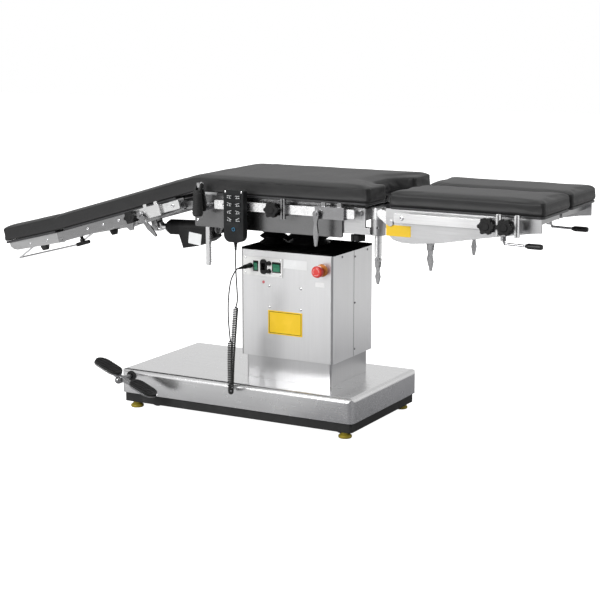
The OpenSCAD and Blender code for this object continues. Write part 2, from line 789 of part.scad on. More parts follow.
module handset_cord() {
    echo(least_gap_between_curls = cord_gap);
    t = concat([[0, 0, -1]], [for (i = [1:len(cord_line) - 2])
        unit(cord_line[i + 1] - cord_line[i - 1])], [[0, 1, 0]]);
    n = carried(t, [1, 0, 0]);
    color(black) skin([for (i = [0:len(t) - 1]) [for (a = [0:72:288])
        cord_line[i] + cord_d / 2 * (cos(a) * n[i] + sin(a) * cross(t[i], n[i]))]]);
}

// Tilt joint and seat section

module tilt_cradle() {
    y = cheek_y[0] - touch;
    x = hanger_x[0] - touch;
    color("gray") {
        block([-x, x], [-y, y], [tilt_z - 14, tilt_z + 14]);
        rod_y(tilt_pin_r, [-cheek_y[1] - 2, cheek_y[1] + 2], 0, tilt_z);
        rod_x(tilt_pin_r, [-hanger_x[1] - 2, hanger_x[1] + 2], 0, tilt_z);
    }
}
module seat_frame() {
    cross = plate_in + 2;
    color(steel) difference() {
        union() {
            both_sides() plate_y([plate_in, plate_y])
                round_rect([-plate_head, plate_foot], [frame_z, plate_top], 5);
            both_sides() block([cross_head, cross_foot + cross_t], beam_y, beam_z);
            block([cross_head, cross_head + cross_t], [-cross, cross], [beam_z[0], beam_z[1] - 2]);
            block([cross_foot, cross_foot + cross_t], [-carrier_in, carrier_in],
                [beam_z[0], beam_z[1] - 2]);
            block([-hanger_x[1], hanger_x[1]], [-beam_y[1] + 2, beam_y[1] - 2],
                [hanger_z, hanger_z + 12]);
            block([drive_at[0] - 50, drive_at[0] + 50], [drive_at[1] - 50, drive_at[1] + 50],
                [hanger_z, hanger_z + 8]);
            for (s = [-1, 1]) plate_x(s < 0 ? [-hanger_x[1], -hanger_x[0]] : hanger_x)
                strap([0, hanger_z + 2], [0, tilt_z], 20, eye_r);
            for (s = [-1, 1]) plate_y([-actuator_y + s * 33 - 3, -actuator_y + s * 33 + 3])
                strap([cross_head + 8, beam_z[0] + 16], act_pivot, 15, 13);
            rod_y(act_pin_r, [-actuator_y - 38, -actuator_y + 38], act_pivot[0], act_pivot[1]);
            both_sides() rod_y(hinge_pin_r, [arm_in - 6, plate_y + 3], -hinge_x, hinge_z);
            both_sides() difference() {
                block([rack_back - 8, crank_x - 14.5], [rack_y[0] - 6, cross], [690, 772]);
                block([rack_back - touch, crank_x], [rack_y[0] - touch, rack_y[1] + touch],
                    [689, 773]);
            }
        }
        rod_x(tilt_pin_r + pin_gap, [-hanger_x[1] - 1, hanger_x[1] + 1], 0, tilt_z);
        rod_y(crank_r + pin_gap, [-plate_y - 1, plate_y + 1], crank_x, crank_z);
    }
}
module rail(x, z) {
    plate_y([-rail_out, -rail_in]) round_rect(x, [z - rail_h / 2, z + rail_h / 2], rail_round);
}
module seat_rails() {
    color(steel) both_sides() {
        rail([-rail_head, rail_foot], rail_z);
        for (x = [-170, 20, 225]) rod_y(9, [-rail_in, -plate_y], x, rail_z);
    }
}
module leg_sockets() {
    color(steel) {
        both_sides() difference() {
            union() {
                plate_y([-plate_in, -carrier_in]) round_rect([200, 340], [frame_z + 15, plate_top - 10], 5);
                block([325, socket_x - socket_r + 8], [-plate_in, -plate_in + 24],
                    [frame_z + 15, frame_z + 37]);
                rod_z(socket_r, [socket_foot, socket_top], socket_x, -socket_y);
                for (x = [282, 322]) towards(x, -plate_in, plate_top - 26) hex_bolt(6, 2);
            }
            rod_z(post_r + pin_gap, [socket_foot - 1, socket_top + 1], socket_x, -socket_y);
            rod_y(4, [-socket_y - socket_r - 1, -socket_y], socket_x + 8, socket_foot + 26);
        }
        difference() {
            block([frame_knob_at[0] - 14, frame_knob_at[0] + 14],
                [-carrier_in, frame_knob_at[1] + 14], [frame_z + 15, frame_z + 37]);
            rod_z(6 + pin_gap, [frame_z, frame_z + 40], frame_knob_at[0], frame_knob_at[1]);
        }
    }
}

// Rail clamps, knobs and levers

module rail_jaw(x, z) {
    h = rail_h / 2;
    difference() {
        block(x, [-rail_out - 12, -rail_in + 6], [z - h - 5, z + h + 5]);
        block([x[0] - 1, x[1] + 1], [-rail_out - touch, -rail_in + touch],
            [z - h - touch, z + h + touch]);
        block([x[0] - 1, x[1] + 1], [-rail_in - 1, -rail_in + 7], [z - h + 6, z + h - 6]);
    }
}
module star_clamp(x, z) {
    difference() {
        union() {
            rail_jaw([x - 14, x + 43], z);
            plate_y([-rail_out - 19, -rail_out - 11]) round_rect([x + 27, x + 43], [z - 31, z + 38], 3);
        }
        rod_y(5 + pin_gap, [-rail_out - 13, -rail_out], x, z);
        rod_z(4, [z - 32, z + 39], x + 35, -rail_out - 15.5);
    }
}
// Stands along Z; the screw reaches down from the neck
module star_knob(r, screw) {
    lobes = 6;
    color(black) {
        translate([0, 0, 7]) linear_extrude(19) {
            circle(0.8 * r);
            for (i = [0:lobes - 1]) rotate(i * 360 / lobes) translate([0.74 * r, 0]) circle(0.26 * r);
        }
        cylinder(r1 = 0.42 * r, r2 = 0.55 * r, h = 7);
        translate([0, 0, 26]) cylinder(r1 = 0.5 * r, r2 = 0.4 * r, h = 2);
        translate([0, 0, -screw]) cylinder(r = 5, h = screw);
    }
}
// A blade on an eye, hanging from the origin in the X-Z plane
module blade_outline(l, eye) {
    strap([0, 0], [0, -0.3 * l], eye, 5);
    strap([0, -0.3 * l], [0, -0.58 * l], 5, 9);
    strap([0, -0.58 * l], [0, 4 - l], 9, 4);
}
module eye_lever(l, shaft) {
    color(steel) {
        plate_y([-17, -10]) blade_outline(l, 11);
        rod_y(6, [-20, shaft], 0, 0);
    }
}
module fork_lever(l) {
    color(steel) {
        for (s = [-1, 1]) plate_y([s * 6 - 2.7, s * 6 + 2.7]) strap([0, 0], [0, -18], 9, 7);
        rod_y(4, [-10, 10], 0, 0);
        block([-7, 7], [-8, 8], [-25, -14]);
        plate_y([-3, 3]) translate([0, -20]) blade_outline(l - 20, 8);
    }
}
jaw_y = -rail_out - 12;
module rail_clamps() {
    h = rail_h / 2;
    color(steel) {
        star_clamp(knob_x, knob_z);
        difference() {
            union() {
                rail_jaw([lever_x - 12, lever_x + 94], rail_z);
                for (x = [lever_x + 8, lever_x + 66])
                    plate_y([-rail_out - 6, -rail_out]) round_rect([x, x + 16], [rail_z + h, rail_z + 34], 4);
            }
            rod_y(6 + pin_gap, [jaw_y - 1, -rail_out], lever_x, rail_z - 3);
        }
    }
}
module clamp_knob() {
    towards(knob_x, jaw_y - touch, knob_z) star_knob(knob_r, 11);
}
module clamp_lever() {
    translate([lever_x, jaw_y, rail_z - 3]) eye_lever(106, 11);
}
module frame_knob() {
    translate([frame_knob_at[0], frame_knob_at[1], frame_z + 15 - touch])
        mirror([0, 0, 1]) star_knob(knob_r - 1, 20);
}

// Cushions

// Inset and height of each level of a cushion, from its board to its crown
function pad_section(t) = [[3, 0], [0, 4], [2.5, 0.45 * t], [0, t - 11], [3.5, t - 3.5],
    [11, t], [crown_inset, t + pad_crown]];
// Corner points with the way each moves as the outline shrinks; a butt corner keeps its x
function pad_corner(x, y, sx, sy, butt = false) = butt ? [[x, y, 0, -sy]] :
    [for (k = [0:3]) let (a = 30 * k + (sx > 0 ? (sy > 0 ? 0 : -90) : (sy > 0 ? 90 : 180)))
        [x - sx * pad_edge + pad_edge * cos(a), y - sy * pad_edge + pad_edge * sin(a), -sx, -sy]];
function pad_rect(x, y, butt) = concat(pad_corner(x[0], y[0], -1, -1, butt[0]),
    pad_corner(x[1], y[0], 1, -1, butt[1]), pad_corner(x[1], y[1], 1, 1, butt[1]),
    pad_corner(x[0], y[1], -1, 1, butt[0]));
module cushion(outline, z, t) {
    color(charcoal) skin([for (k = pad_section(t))
        [for (p = outline) [p[0] + p[2] * k[0], p[1] + p[3] * k[0], z + k[1]]]]);
}
module board(outline, z) {
    color(black) plate_z([z, z + board_t - touch])
        polygon([for (p = outline) [p[0] + p[2] * board_inset, p[1] + p[3] * board_inset]]);
}
function cut_side() = let (e = pad_edge, ax = cut_depth - e, ay = cut_mouth - cut_floor)
    concat([for (a = [0:30:90]) [seat_foot - e + e * cos(a), -cut_mouth - e + e * sin(a), -1, -1]],
        [for (a = [15:15:90]) let (n = unit([sin(a) / ax, cos(a) / ay]))
            [seat_foot - e - ax * sin(a), -cut_floor - ay * cos(a), -n[0], -n[1]]]);
function seat_outline() = let (c = cut_side(), x = bend_seat - hinge_x, n = len(c) - 1)
    concat(pad_corner(x, -pad_y, -1, -1, true), pad_corner(seat_foot, -pad_y, 1, -1), c,
        [for (i = [n:-1:0]) [c[i][0], -c[i][1], c[i][2], -c[i][3]]],
        pad_corner(seat_foot, pad_y, 1, 1), pad_corner(x, pad_y, -1, 1, true));
module seat_pad() {
    cushion(seat_outline(), pad_z, pad_t);
    board(seat_outline(), plate_top);
}
module on_back() {
    translate([-hinge_x, 0, hinge_z]) rotate([0, -back_angle, 0]) children();
}
module on_head() {
    on_back() translate([-back_l, 0, neck_w]) rotate([0, head_angle, 0]) children();
}
module back_pad() {
    x = [neck_back - back_l, -bend_back];
    outline = pad_rect(x, [-pad_y, pad_y], [true, true]);
    on_back() {
        cushion(outline, pad_base, pad_t);
        board(outline, pad_base - board_t);
    }
}
module head_pad() {
    outline = pad_rect([-head_l - neck_head, -neck_head], [-pad_y, pad_y], [false, true]);
    on_head() {
        cushion(outline, head_base, pad_t);
        board(outline, head_base - board_t);
    }
}
// The soft zones over a hinge: each station has its distance, its fall and its lost height
module bend_zone(base, stations) {
    color(charcoal) skin([for (s = stations) let (k = pad_section(pad_t - s[2]),
        edge = concat([for (p = k) [p[0] - pad_y, p[1]]],
            [for (i = [len(k) - 1:-1:0]) [pad_y - k[i][0], k[i][1]]]))
        [for (p = edge) let (w = base + p[1])
            [s[0] * cos(s[1]) - w * sin(s[1]), p[0], s[0] * sin(s[1]) + w * cos(s[1])]]]);
}
module pad_bends() {
    translate([-hinge_x, 0, hinge_z]) bend_zone(pad_base, [[bend_seat - touch, 0, 0], [45, 0, 0],
        [bend_half, 0, 0], [0, back_angle / 2, 0], [-bend_half, back_angle, 0],
        [-45, back_angle, 0], [touch - bend_back, back_angle, 0]]);
    on_back() translate([-back_l, 0, neck_w]) bend_zone(head_base, [[neck_back - touch, 0, 0],
        [10, 0, 0], [4, 0, 6], [-2, -head_angle, 6], [-8, -head_angle, 0],
        [touch - neck_head, -head_angle, 0]]);
}

// Handset

module handset_outline() {
    x = [handset_x - handset_w / 2, handset_x + handset_w / 2];
    r = 24;
    translate([x[0], handset_low + r]) square([handset_w, handset_l - r - 7]);
    translate([x[0] + r, handset_low]) square([handset_w - 2 * r, handset_l]);
    for (a = [x[0] + r, x[1] - r]) translate([a, handset_low + r]) circle(r);
    translate([x[0] + 7, handset_low + r]) square([handset_w - 14, handset_l - r]);
    for (a = [x[0] + 7, x[1] - 7]) translate([a, handset_top - 7]) circle(7);
}
module handset() {
    y = handset_y - handset_t;
    h = rail_z + rail_h / 2;
    key = [24, 15];
    color(black) {
        difference() {
            plate_y([y, handset_y]) handset_outline();
            for (x = [-15.5, 15.5], k = [0:3]) plate_y([y - 1, y + 1.5])
                round_rect([handset_x + x - key[0] / 2 - 1, handset_x + x + key[0] / 2 + 1],
                    [handset_top - 31 - 25.5 * k, handset_top - 14 - 25.5 * k], 3);
        }
        for (x = [-15.5, 15.5], k = [0:3]) plate_y([y - 0.8, y + 1.5])
            round_rect([handset_x + x - key[0] / 2, handset_x + x + key[0] / 2],
                [handset_top - 30 - 25.5 * k, handset_top - 15 - 25.5 * k], 3);
        rod_y(7, [y - 1, y + 1], handset_x, handset_top - 131);
        translate([handset_x, handset_y - handset_t / 2, handset_low - boot_l]) rotate_extrude()
            polygon([[0, 0], [3.5, 0], [4.2, 6], [3.8, 8], [5, 13], [4.6, 15], [6, 20], [7, 28], [0, 28]]);
    }
    color(steel) plate_x([handset_x - 18, handset_x + 18]) polygon([[handset_y, h - 40],
        [handset_y, h + 5], [-rail_in + 4, h + 5], [-rail_in + 4, h - 14], [-rail_in + touch, h - 14],
        [-rail_in + touch, h + touch], [-rail_out - touch, h + touch], [-rail_out - touch, h - 40]]);
}

// Kidney bridge

mesh_slack = 0.15;
rack_tip = 1.3;
rack_root = 1.9;
press_angle = 20;
module rack() {
    z = [bridge_z[0] - rack_l, bridge_z[0] + 2];
    half = rack_pitch / 4 - mesh_slack;
    teeth = floor((crank_z - z[0] - 6) / rack_pitch);
    lean = tan(press_angle);
    plate_y(rack_y) {
        polygon([[rack_back, z[0]], [rack_line - rack_root, z[0]], [rack_line - rack_root, z[1]],
            [rack_back, z[1]]]);
        for (k = [-teeth:3]) let (c = crank_z + (k + 0.5) * rack_pitch)
            polygon([[rack_line - rack_root - 1, c - half - rack_root * lean],
                [rack_line - rack_root, c - half - rack_root * lean],
                [rack_line + rack_tip, c - half + rack_tip * lean],
                [rack_line + rack_tip, c + half - rack_tip * lean],
                [rack_line - rack_root, c + half + rack_root * lean],
                [rack_line - rack_root - 1, c + half + rack_root * lean]]);
    }
}
module kidney_bridge() {
    color(steel) {
        plate_y([-bridge_y, bridge_y]) round_rect(bridge_x, bridge_z, 4);
        both_sides() rack();
    }
}
// Angle by which an involute has unwound at a given pressure angle
function unwound(a) = tan(a) * 180 / PI - a;
module pinion_outline() {
    base_r = pinion_r * cos(press_angle);
    root_r = pinion_r - 1.8;
    tip_r = pinion_r + 1.5;
    half = (rack_pitch / 4 - mesh_slack) / pinion_r * 180 / PI;
    radii = [for (k = [0:4]) mix(base_r + 0.001, tip_r, k / 4)];
    open = [for (r = radii) half + unwound(press_angle) - unwound(acos(base_r / r))];
    polygon([for (k = [0:pinion_teeth - 1]) let (a = 180 + k * 360 / pinion_teeth) each concat(
        [root_r * [cos(a - open[0]), sin(a - open[0])]],
        [for (i = [0:4]) radii[i] * [cos(a - open[i]), sin(a - open[i])]],
        [for (i = [4:-1:0]) radii[i] * [cos(a + open[i]), sin(a + open[i])]],
        [root_r * [cos(a + open[0]), sin(a + open[0])]])]);
}
lug_y = arm_y[0] - 8;
grip_y = arm_y[0] - grip_r - 1.2;
module bridge_crank() {
    hub = [crank_x, crank_z];
    color(steel) {
        rod_y(crank_r, [arm_y[0], plate_y + 6], crank_x, crank_z);
        rod_y(12, [plate_y + touch, plate_y + 6], crank_x, crank_z);
        rod_y(14, [arm_y[0], -plate_y - touch], crank_x, crank_z);
        both_sides() plate_y(rack_y) translate(hub) pinion_outline();
        plate_y(arm_y) strap(hub, arm_top, 13, 9);
        difference() {
            block([arm_top[0] - 6, arm_top[0] + 6], [arm_y[0] - 15, arm_y[1]],
                [arm_top[1] - 8, arm_top[1] + 8]);
            rod_x(4 + pin_gap, [arm_top[0] - 7, arm_top[0] + 7], lug_y, arm_top[1]);
        }
    }
}
module crank_grip() {
    x = arm_top[0];
    z = arm_top[1];
    color(steel) {
        rod_x(4, [x - 12, x + 12], lug_y, z);
        for (s = [-1, 1]) plate_x([x + s * 9 - 2.7, x + s * 9 + 2.7])
            strap([lug_y, z], [grip_y + 5, z - 18], 7.5, 7.5);
        rod_z(12, [z - 24, z - 16], x, grip_y);
    }
    color(black) translate([x, grip_y, z - 10]) mirror([0, 0, 1]) rotate_extrude()
        polygon(concat([[0, 14], [11, 14]], [for (k = [0:9]) let (r = grip_r - 4.5 + 0.45 * k)
            each [[r, 17 + 7 * k], [r, 21 + 7 * k], [r - 1, 22 + 7 * k], [r - 1, 23 + 7 * k]]],
            [[grip_r - 1, grip_l - 17], [grip_r - 5, grip_l - 11], [0, grip_l - 10]]));
}

// Back, head and actuator

module back_frame() {
    mid = actuator_y;
    h = rail_h / 2;
    color(steel) on_back() {
        both_sides() {
            difference() {
                union() {
                    block([-back_l - 12, -50], [plate_in, plate_y], [0, bar_h]);
                    plate_y([arm_in, arm_out]) strap([0, 0], [-110, 18], 13, 14);
                    block([-122, -62], [arm_in, plate_in + 1], [8, 28]);
                    rod_y(head_pin_r, [-plate_y - 2, 8 - plate_in], -back_l, neck_w);
                }
                rod_y(hinge_pin_r + pin_gap, [arm_in - 1, arm_out + 1], 0, 0);
            }
            mirror([0, 1, 0]) rod_y(head_pin_r, [plate_in - 8, plate_y + 2], -back_l, neck_w);
            rail([-262, -52], clamp_w);
            for (u = [-80, -240]) rod_y(8, [-rail_in, -plate_y], u, clamp_w);
            plate_y([plate_in, plate_y]) polygon([[-58, 1], [-262, 1], [-262, -9], [-205, -14], [-58, -4]]);
        }
        for (u = [-130, -254, -430, neck_back - back_l + 20])
            block([u, u + 18], [-plate_in - 2, plate_in + 2], [10, bar_h - 2]);
        for (s = [-1, 1]) plate_y([-mid + s * 17 - 3, -mid + s * 17 + 3])
            strap([back_clevis[0], 16], back_clevis, 12, 11);
        rod_y(5, [-mid - 22, -mid + 22], back_clevis[0], back_clevis[1]);
        plate_y([-plate_y, -plate_in]) polygon([[-326, 2], [-278, 2], [-290, -26], [-302, -26]]);
        difference() {
            union() {
                rail_jaw([-258, -128], clamp_w);
                for (u = [-196, -150]) plate_y([-rail_out - 6, -rail_out])
                    round_rect([u, u + 14], [clamp_w + h, clamp_w + 31], 4);
            }
            rod_y(5 + pin_gap, [jaw_y - 1, -rail_out], clamp_knob_u, clamp_w);
            rod_y(6 + pin_gap, [jaw_y - 1, -rail_out], clamp_lever_u, clamp_w - 2);
        }
        difference() {
            block([-547, -523], [-plate_in - 1, -plate_in + 28], [3, bar_h - 4]);
            rod_z(6 + pin_gap, [2, bar_h], -535, -plate_in + 16);
        }
    }
}
module back_clamp_knob() {
    on_back() towards(clamp_knob_u, jaw_y - touch, clamp_w) star_knob(knob_r - 4, 11);
}
module back_clamp_lever() {
    on_back() translate([clamp_lever_u, jaw_y, clamp_w - 2]) rotate([0, -30, 0]) eye_lever(98, 11);
}
module back_stop_knob() {
    color(black) on_back() translate([-535, -plate_in + 16, 0]) {
        rod_z(6, [-20, bar_h - 8]);
        rod_x(7, [-28, 28], 0, -24);
        rod_z(9, [-26, -8]);
    }
}
module head_plate_outline() {
    difference() {
        union() {
            polygon([[0, -12], [-215, -5], [-232, 1], [4 - head_l, 14], [4 - head_l, head_base - board_t],
                [-10, head_base - board_t], [0, 13]]);
            circle(13);
        }
        circle(head_pin_r + pin_gap);
    }
}
bail_at = [-138, 12];
bail_y = 180;
bail_low = [-255, -35];
module head_frame() {
    top = head_base - board_t;
    color(steel) on_head() {
        both_sides() plate_y([arm_in, arm_out]) head_plate_outline();
        for (u = [-60, -147, -225]) block([u, u + 16], [-arm_in - 2, arm_in + 2], [top - 8, top]);
        both_sides() difference() {
            block([bail_at[0] - 8, bail_at[0] + 8], [bail_y + 5, bail_y + 11],
                [bail_at[1] - 8, top - 2]);
            rod_y(bail_d / 2 + pin_gap, [bail_y + 4, bail_y + 12], bail_at[0], bail_at[1]);
        }
    }
}
module bar(p, q, r) {
    d = q - p;
    translate(p) rotate([0, acos(d[2] / norm(d)), atan2(d[1], d[0])]) cylinder(r = r, h = norm(d));
}
module head_bail() {
    r = bail_d / 2;
    color(steel) on_head() {
        both_sides() {
            bar([bail_at[0], bail_y, bail_at[1]], [bail_low[0], bail_y, bail_low[1]], r);
            rod_y(r, [bail_y, bail_y + 14], bail_at[0], bail_at[1]);
            translate([bail_at[0], bail_y, bail_at[1]]) sphere(r + 0.4);
            translate([bail_low[0], bail_y, bail_low[1]]) sphere(r + 0.4);
        }
        rod_y(r, [-bail_y, bail_y], bail_low[0], bail_low[1]);
    }
}
module on_actuator() {
    translate([act_pivot[0], -actuator_y, act_pivot[1]]) rotate([0, -act_fall, 0]) children();
}
module actuator_body() {
    r = actuator_d / 2;
    nose = 42 - act_len;
    color(black) on_actuator() difference() {
        union() {
            rod_x(r, [nose + 14, -24], 0, 0);
            translate([nose, 0, 0]) rotate([0, 90, 0]) cylinder(r1 = r - 9, r2 = r, h = 14);
            plate_y([-12, 12]) strap([-34, 0], [0, 0], 20, 14);
            plate_y([-28, 28]) polygon([[-167, -20], [-151, -70], [-87, -60], [-69, -52],
                [-48, -46], [-24, -30], [-30, -8], [-60, 0], [-167, 0]]);
        }
        rod_y(act_pin_r + pin_gap, [-13, 13], 0, 0);
        rod_x(actuator_rod_r + pin_gap, [nose - 1, -50], 0, 0);
    }
}
eye_half = [21, 17];
module actuator_rod() {
    tip = -act_len;
    color(steel) on_actuator() difference() {
        union() {
            rod_x(actuator_rod_r, [tip + 15, -105], 0, 0);
            plate_y([-12, 12]) round_rect([tip - eye_half[0], tip + eye_half[0]],
                [-eye_half[1], eye_half[1]], 14);
        }
        plate_y([-13, 13]) round_rect([tip - eye_half[0] + 5, tip + eye_half[0] - 5],
            [-eye_half[1] + 5, eye_half[1] - 5], 9);
    }
}

// Legs, drawn for the near side

lever_at = [549, 676];
lug_in = -175;

module leg_post() {
    low = socket_top + touch;
    color(steel) difference() {
        union() {
            rod_z(post_r, [620, post_top - 1], socket_x, -socket_y);
            rod_z(socket_r, [low, post_top], socket_x, -socket_y);
            difference() {
                plate_y([-arm_band[1], -arm_band[0]])
                    strap([socket_x + 19, post_top - 17], [fold_x, fold_z], 14, 17);
                rod_z(socket_r + 0.5, [fold_z - 30, low + 1], socket_x, -socket_y);
            }
            block([socket_x - 8, socket_x + 8], [-socket_y - 3, -socket_y + 3], [602, 621]);
        }
        rod_y(10 + pin_gap, [-arm_band[1] - 1, -arm_band[0] + 1], fold_x, fold_z);
        rod_y(4 + pin_gap, [-socket_y - 4, -socket_y + 4], socket_x, 610);
    }
}
module leg_frame(clamps) {
    top = leg_board_z;
    color(steel) {
        difference() {
            union() {
                plate_y([-leg_plate_y[0], -leg_plate_y[1]]) polygon([[fold_x - 17, top],
                    [fold_x - 17, fold_z - 16], [fold_x - 8, fold_z - 38], [fold_x + 9, fold_z - 54],
                    [fold_x + 38, fold_z - 61], [fold_x + 76, fold_z - 62], [fold_x + 173, fold_z - 53],
                    [release_x - 66, fold_z - 28], [release_x, fold_z - 17], [leg_foot - 53, fold_z - 1],
                    [leg_foot - 17, fold_z + 2], [leg_foot - 17, top]]);
                plate_y([-arm_band[0] + 3, -arm_band[0] + 9])
                    strap([fold_x, fold_z], [fold_x + 36, top - 18], 15, 14);
                rod_y(10, [-leg_plate_y[0] - 5, -arm_band[0] + 12], fold_x, fold_z);
                for (x = [fold_x + 24, 700, leg_foot - 58])
                    block([x, x + 18], [-leg_plate_y[1] - 2, -12], [top - 26, top]);
                block([fold_x + 24, leg_foot - 40], [-20, -12], [top - 28, top]);
                block([532, 580], [-leg_plate_y[1] - 1, lug_in - 6], [fold_z - 44, fold_z - 36]);
                block([lever_at[0] - 8, lever_at[0] + 8], [lug_in - 6, lug_in],
                    [lever_at[1] - 8, fold_z - 36]);
                block([release_x - 9, release_x + 9], [-release_y - 3, -release_y + 3],
                    [release_z - 9, top]);
                block([release_x - 9, release_x + 9], [-leg_plate_y[1] - 1, -release_y], [top - 20, top]);
            }
            rod_y(4 + pin_gap, [lug_in - 7, lug_in + 1], lever_at[0], lever_at[1]);
            rod_y(5 + pin_gap, [-release_y - 4, -release_y + 4], release_x, release_z);
        }
        rail([fold_x + 28, leg_foot - 65], rail_z - 1);
        for (x = [fold_x + 56, 650, leg_foot - 84])
            rod_y(9, [-rail_in, -leg_plate_y[0]], x, rail_z - 1);
        if (clamps) for (x = leg_knob_x) star_clamp(x, rail_z - 1);
    }
}
leg_knob_x = [787, 847];
function leg_outline() = let (x = leg_head, y = -leg_split / 2, ax = 78, ay = 85)
    concat(pad_corner(x, -pad_y, -1, -1), pad_corner(leg_foot, -pad_y, 1, -1),
        pad_corner(leg_foot, y, 1, 1), [for (a = [90:15:180])
            let (n = unit([cos(a) / ax, sin(a) / ay]))
            [x + ax + ax * cos(a), y - ay + ay * sin(a), -n[0], -n[1]]]);
module leg_pad() {
    cushion(leg_outline(), leg_board_z + board_t, leg_pad_t);
    board(leg_outline(), leg_board_z);
}
module post_lever() {
    translate([socket_x, -socket_y, 610]) fork_lever(82);
}
module leg_lever() {
    translate([lever_at[0], lug_in - 3, lever_at[1]]) fork_lever(93);
}
module leg_release() {
    low = [release_x + 8, -release_y - 8, release_z - 16];
    color(steel) {
        rod_y(5, [-release_y - 10, -release_y + 6], release_x, release_z);
        bar([release_x, -release_y - 8, release_z], low, 4);
        translate(low) sphere(4.6);
        bar(low, low + [75, 0, -2], 4);
    }
    color(black) translate(low + [68, 0, -2]) rotate([0, 90, 0]) rotate_extrude()
        polygon([[0, 0], [5, 0], [9, 10], [9, 50], [7, 56], [0, 56]]);
}
module leg_knob(i) {
    towards(leg_knob_x[i], jaw_y - touch, rail_z - 1) star_knob(knob_r, 11);
}
module leg_post_near() { leg_post(); }
module leg_post_far() { mirror([0, 1, 0]) leg_post(); }
module leg_frame_near() { leg_frame(true); }
module leg_frame_far() { mirror([0, 1, 0]) leg_frame(false); }
module leg_pad_near() { leg_pad(); }
module leg_pad_far() { mirror([0, 1, 0]) leg_pad(); }
module post_lever_near() { post_lever(); }
module post_lever_far() { mirror([0, 1, 0]) post_lever(); }
module leg_lever_near() { leg_lever(); }
module leg_lever_far() { mirror([0, 1, 0]) leg_lever(); }
module leg_release_near() { leg_release(); }
module leg_release_far() { mirror([0, 1, 0]) leg_release(); }
module leg_knob_inner() { leg_knob(0); }
module leg_knob_outer() { leg_knob(1); }

base_frame();
base_cover();
base_skirt();
levelling_feet();
lower_column_cover();
outer_mast();
casters();
brake_pedal();
pedal_treads();
inner_mast();
column_cap();
upper_cover_front();
upper_cover_rear();
control_panel();
power_inlet();
switch_left();
switch_right();
stop_collar();
stop_button();
tilt_bellows();
cord_plug();
handset_cord();
tilt_cradle();
seat_frame();
seat_rails();
seat_pad();
leg_sockets();
rail_clamps();
clamp_knob();
clamp_lever();
frame_knob();
handset();
kidney_bridge();
bridge_crank();
crank_grip();
back_frame();
back_pad();
pad_bends();
back_clamp_knob();
back_clamp_lever();
back_stop_knob();
head_frame();
head_pad();
head_bail();
actuator_body();
actuator_rod();
leg_post_near();
leg_post_far();
leg_frame_near();
leg_frame_far();
leg_pad_near();
leg_pad_far();
post_lever_near();
post_lever_far();
leg_lever_near();
leg_lever_far();
leg_knob_inner();
leg_knob_outer();
leg_release_near();
leg_release_far();
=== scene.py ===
"""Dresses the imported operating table: finishes, cushions, bellows, cord and fittings."""

import logging
import math
from collections.abc import Callable, Sequence
from dataclasses import dataclass, field
from enum import Enum

import bmesh
import bpy
from mathutils import Matrix, Vector, noise


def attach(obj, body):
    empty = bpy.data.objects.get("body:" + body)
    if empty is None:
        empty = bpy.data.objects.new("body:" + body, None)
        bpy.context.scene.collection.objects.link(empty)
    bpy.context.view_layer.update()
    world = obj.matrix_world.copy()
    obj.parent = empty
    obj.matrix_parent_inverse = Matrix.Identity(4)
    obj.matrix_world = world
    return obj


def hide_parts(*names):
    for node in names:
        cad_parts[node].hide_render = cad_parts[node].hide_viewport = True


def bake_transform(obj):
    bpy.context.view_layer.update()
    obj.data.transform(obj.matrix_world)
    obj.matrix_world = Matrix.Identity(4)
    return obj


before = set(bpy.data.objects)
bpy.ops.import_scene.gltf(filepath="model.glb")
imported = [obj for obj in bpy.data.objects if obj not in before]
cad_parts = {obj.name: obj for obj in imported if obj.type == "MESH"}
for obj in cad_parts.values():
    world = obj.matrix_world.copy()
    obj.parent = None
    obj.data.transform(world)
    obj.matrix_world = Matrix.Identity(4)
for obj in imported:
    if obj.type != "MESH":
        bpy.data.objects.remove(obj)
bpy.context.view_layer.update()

LOG = logging.getLogger("operating_table")
MM = 0.001
Ring = list[Vector]
Colour = tuple[float, float, float]
Rim = tuple[float, float, float, float]
Finishes = dict[str, bpy.types.Material]

# Places of the carrying parts, in metres
BACK_HINGE = Vector((-0.296, 0.0, 0.752))
BACK_SLOPE = math.radians(16.5)
NECK = -0.610
NECK_RISE = 0.010
HEAD_TURN = math.radians(2.6)
PAD_LOW = 0.045
PAD_THICK = 0.050
PAD_HALF_WIDTH = 0.250
COLUMN_FRONT = -0.149
SEAM_DEPTH = 0.0065
SEAM_WIDTH = 0.0016
SEAM_PULL = 0.0010
SEAM_FROM_END = 0.012
SIDE_DEPTH = 0.012
BOARD_DROP = 0.009


def on_back(u: float, v: float, w: float) -> Vector:
    """Gives a point of the back section's own frame in the table's frame."""
    c, s = math.cos(BACK_SLOPE), math.sin(BACK_SLOPE)
    return BACK_HINGE + Vector((u * c - w * s, v, u * s + w * c))


def on_head(u: float, v: float, w: float) -> Vector:
    """Gives a point of the head section's own frame in the table's frame."""
    c, s = math.cos(HEAD_TURN), math.sin(HEAD_TURN)
    return on_back(NECK + u * c + w * s, v, NECK_RISE - u * s + w * c)


def bell(x: float, middle: float, width: float) -> float:
    """Gives 1 at a middle and falls away from it on both sides."""
    return math.exp(-(((x - middle) / width) ** 2))


def clamped(share: float) -> float:
    """Keeps a share between 0 and 1."""
    return max(0.0, min(1.0, share))


def eased(share: float) -> float:
    """Gives a share that starts and ends softly."""
    held = clamped(share)
    return held * held * (3 - 2 * held)


# Shader maths


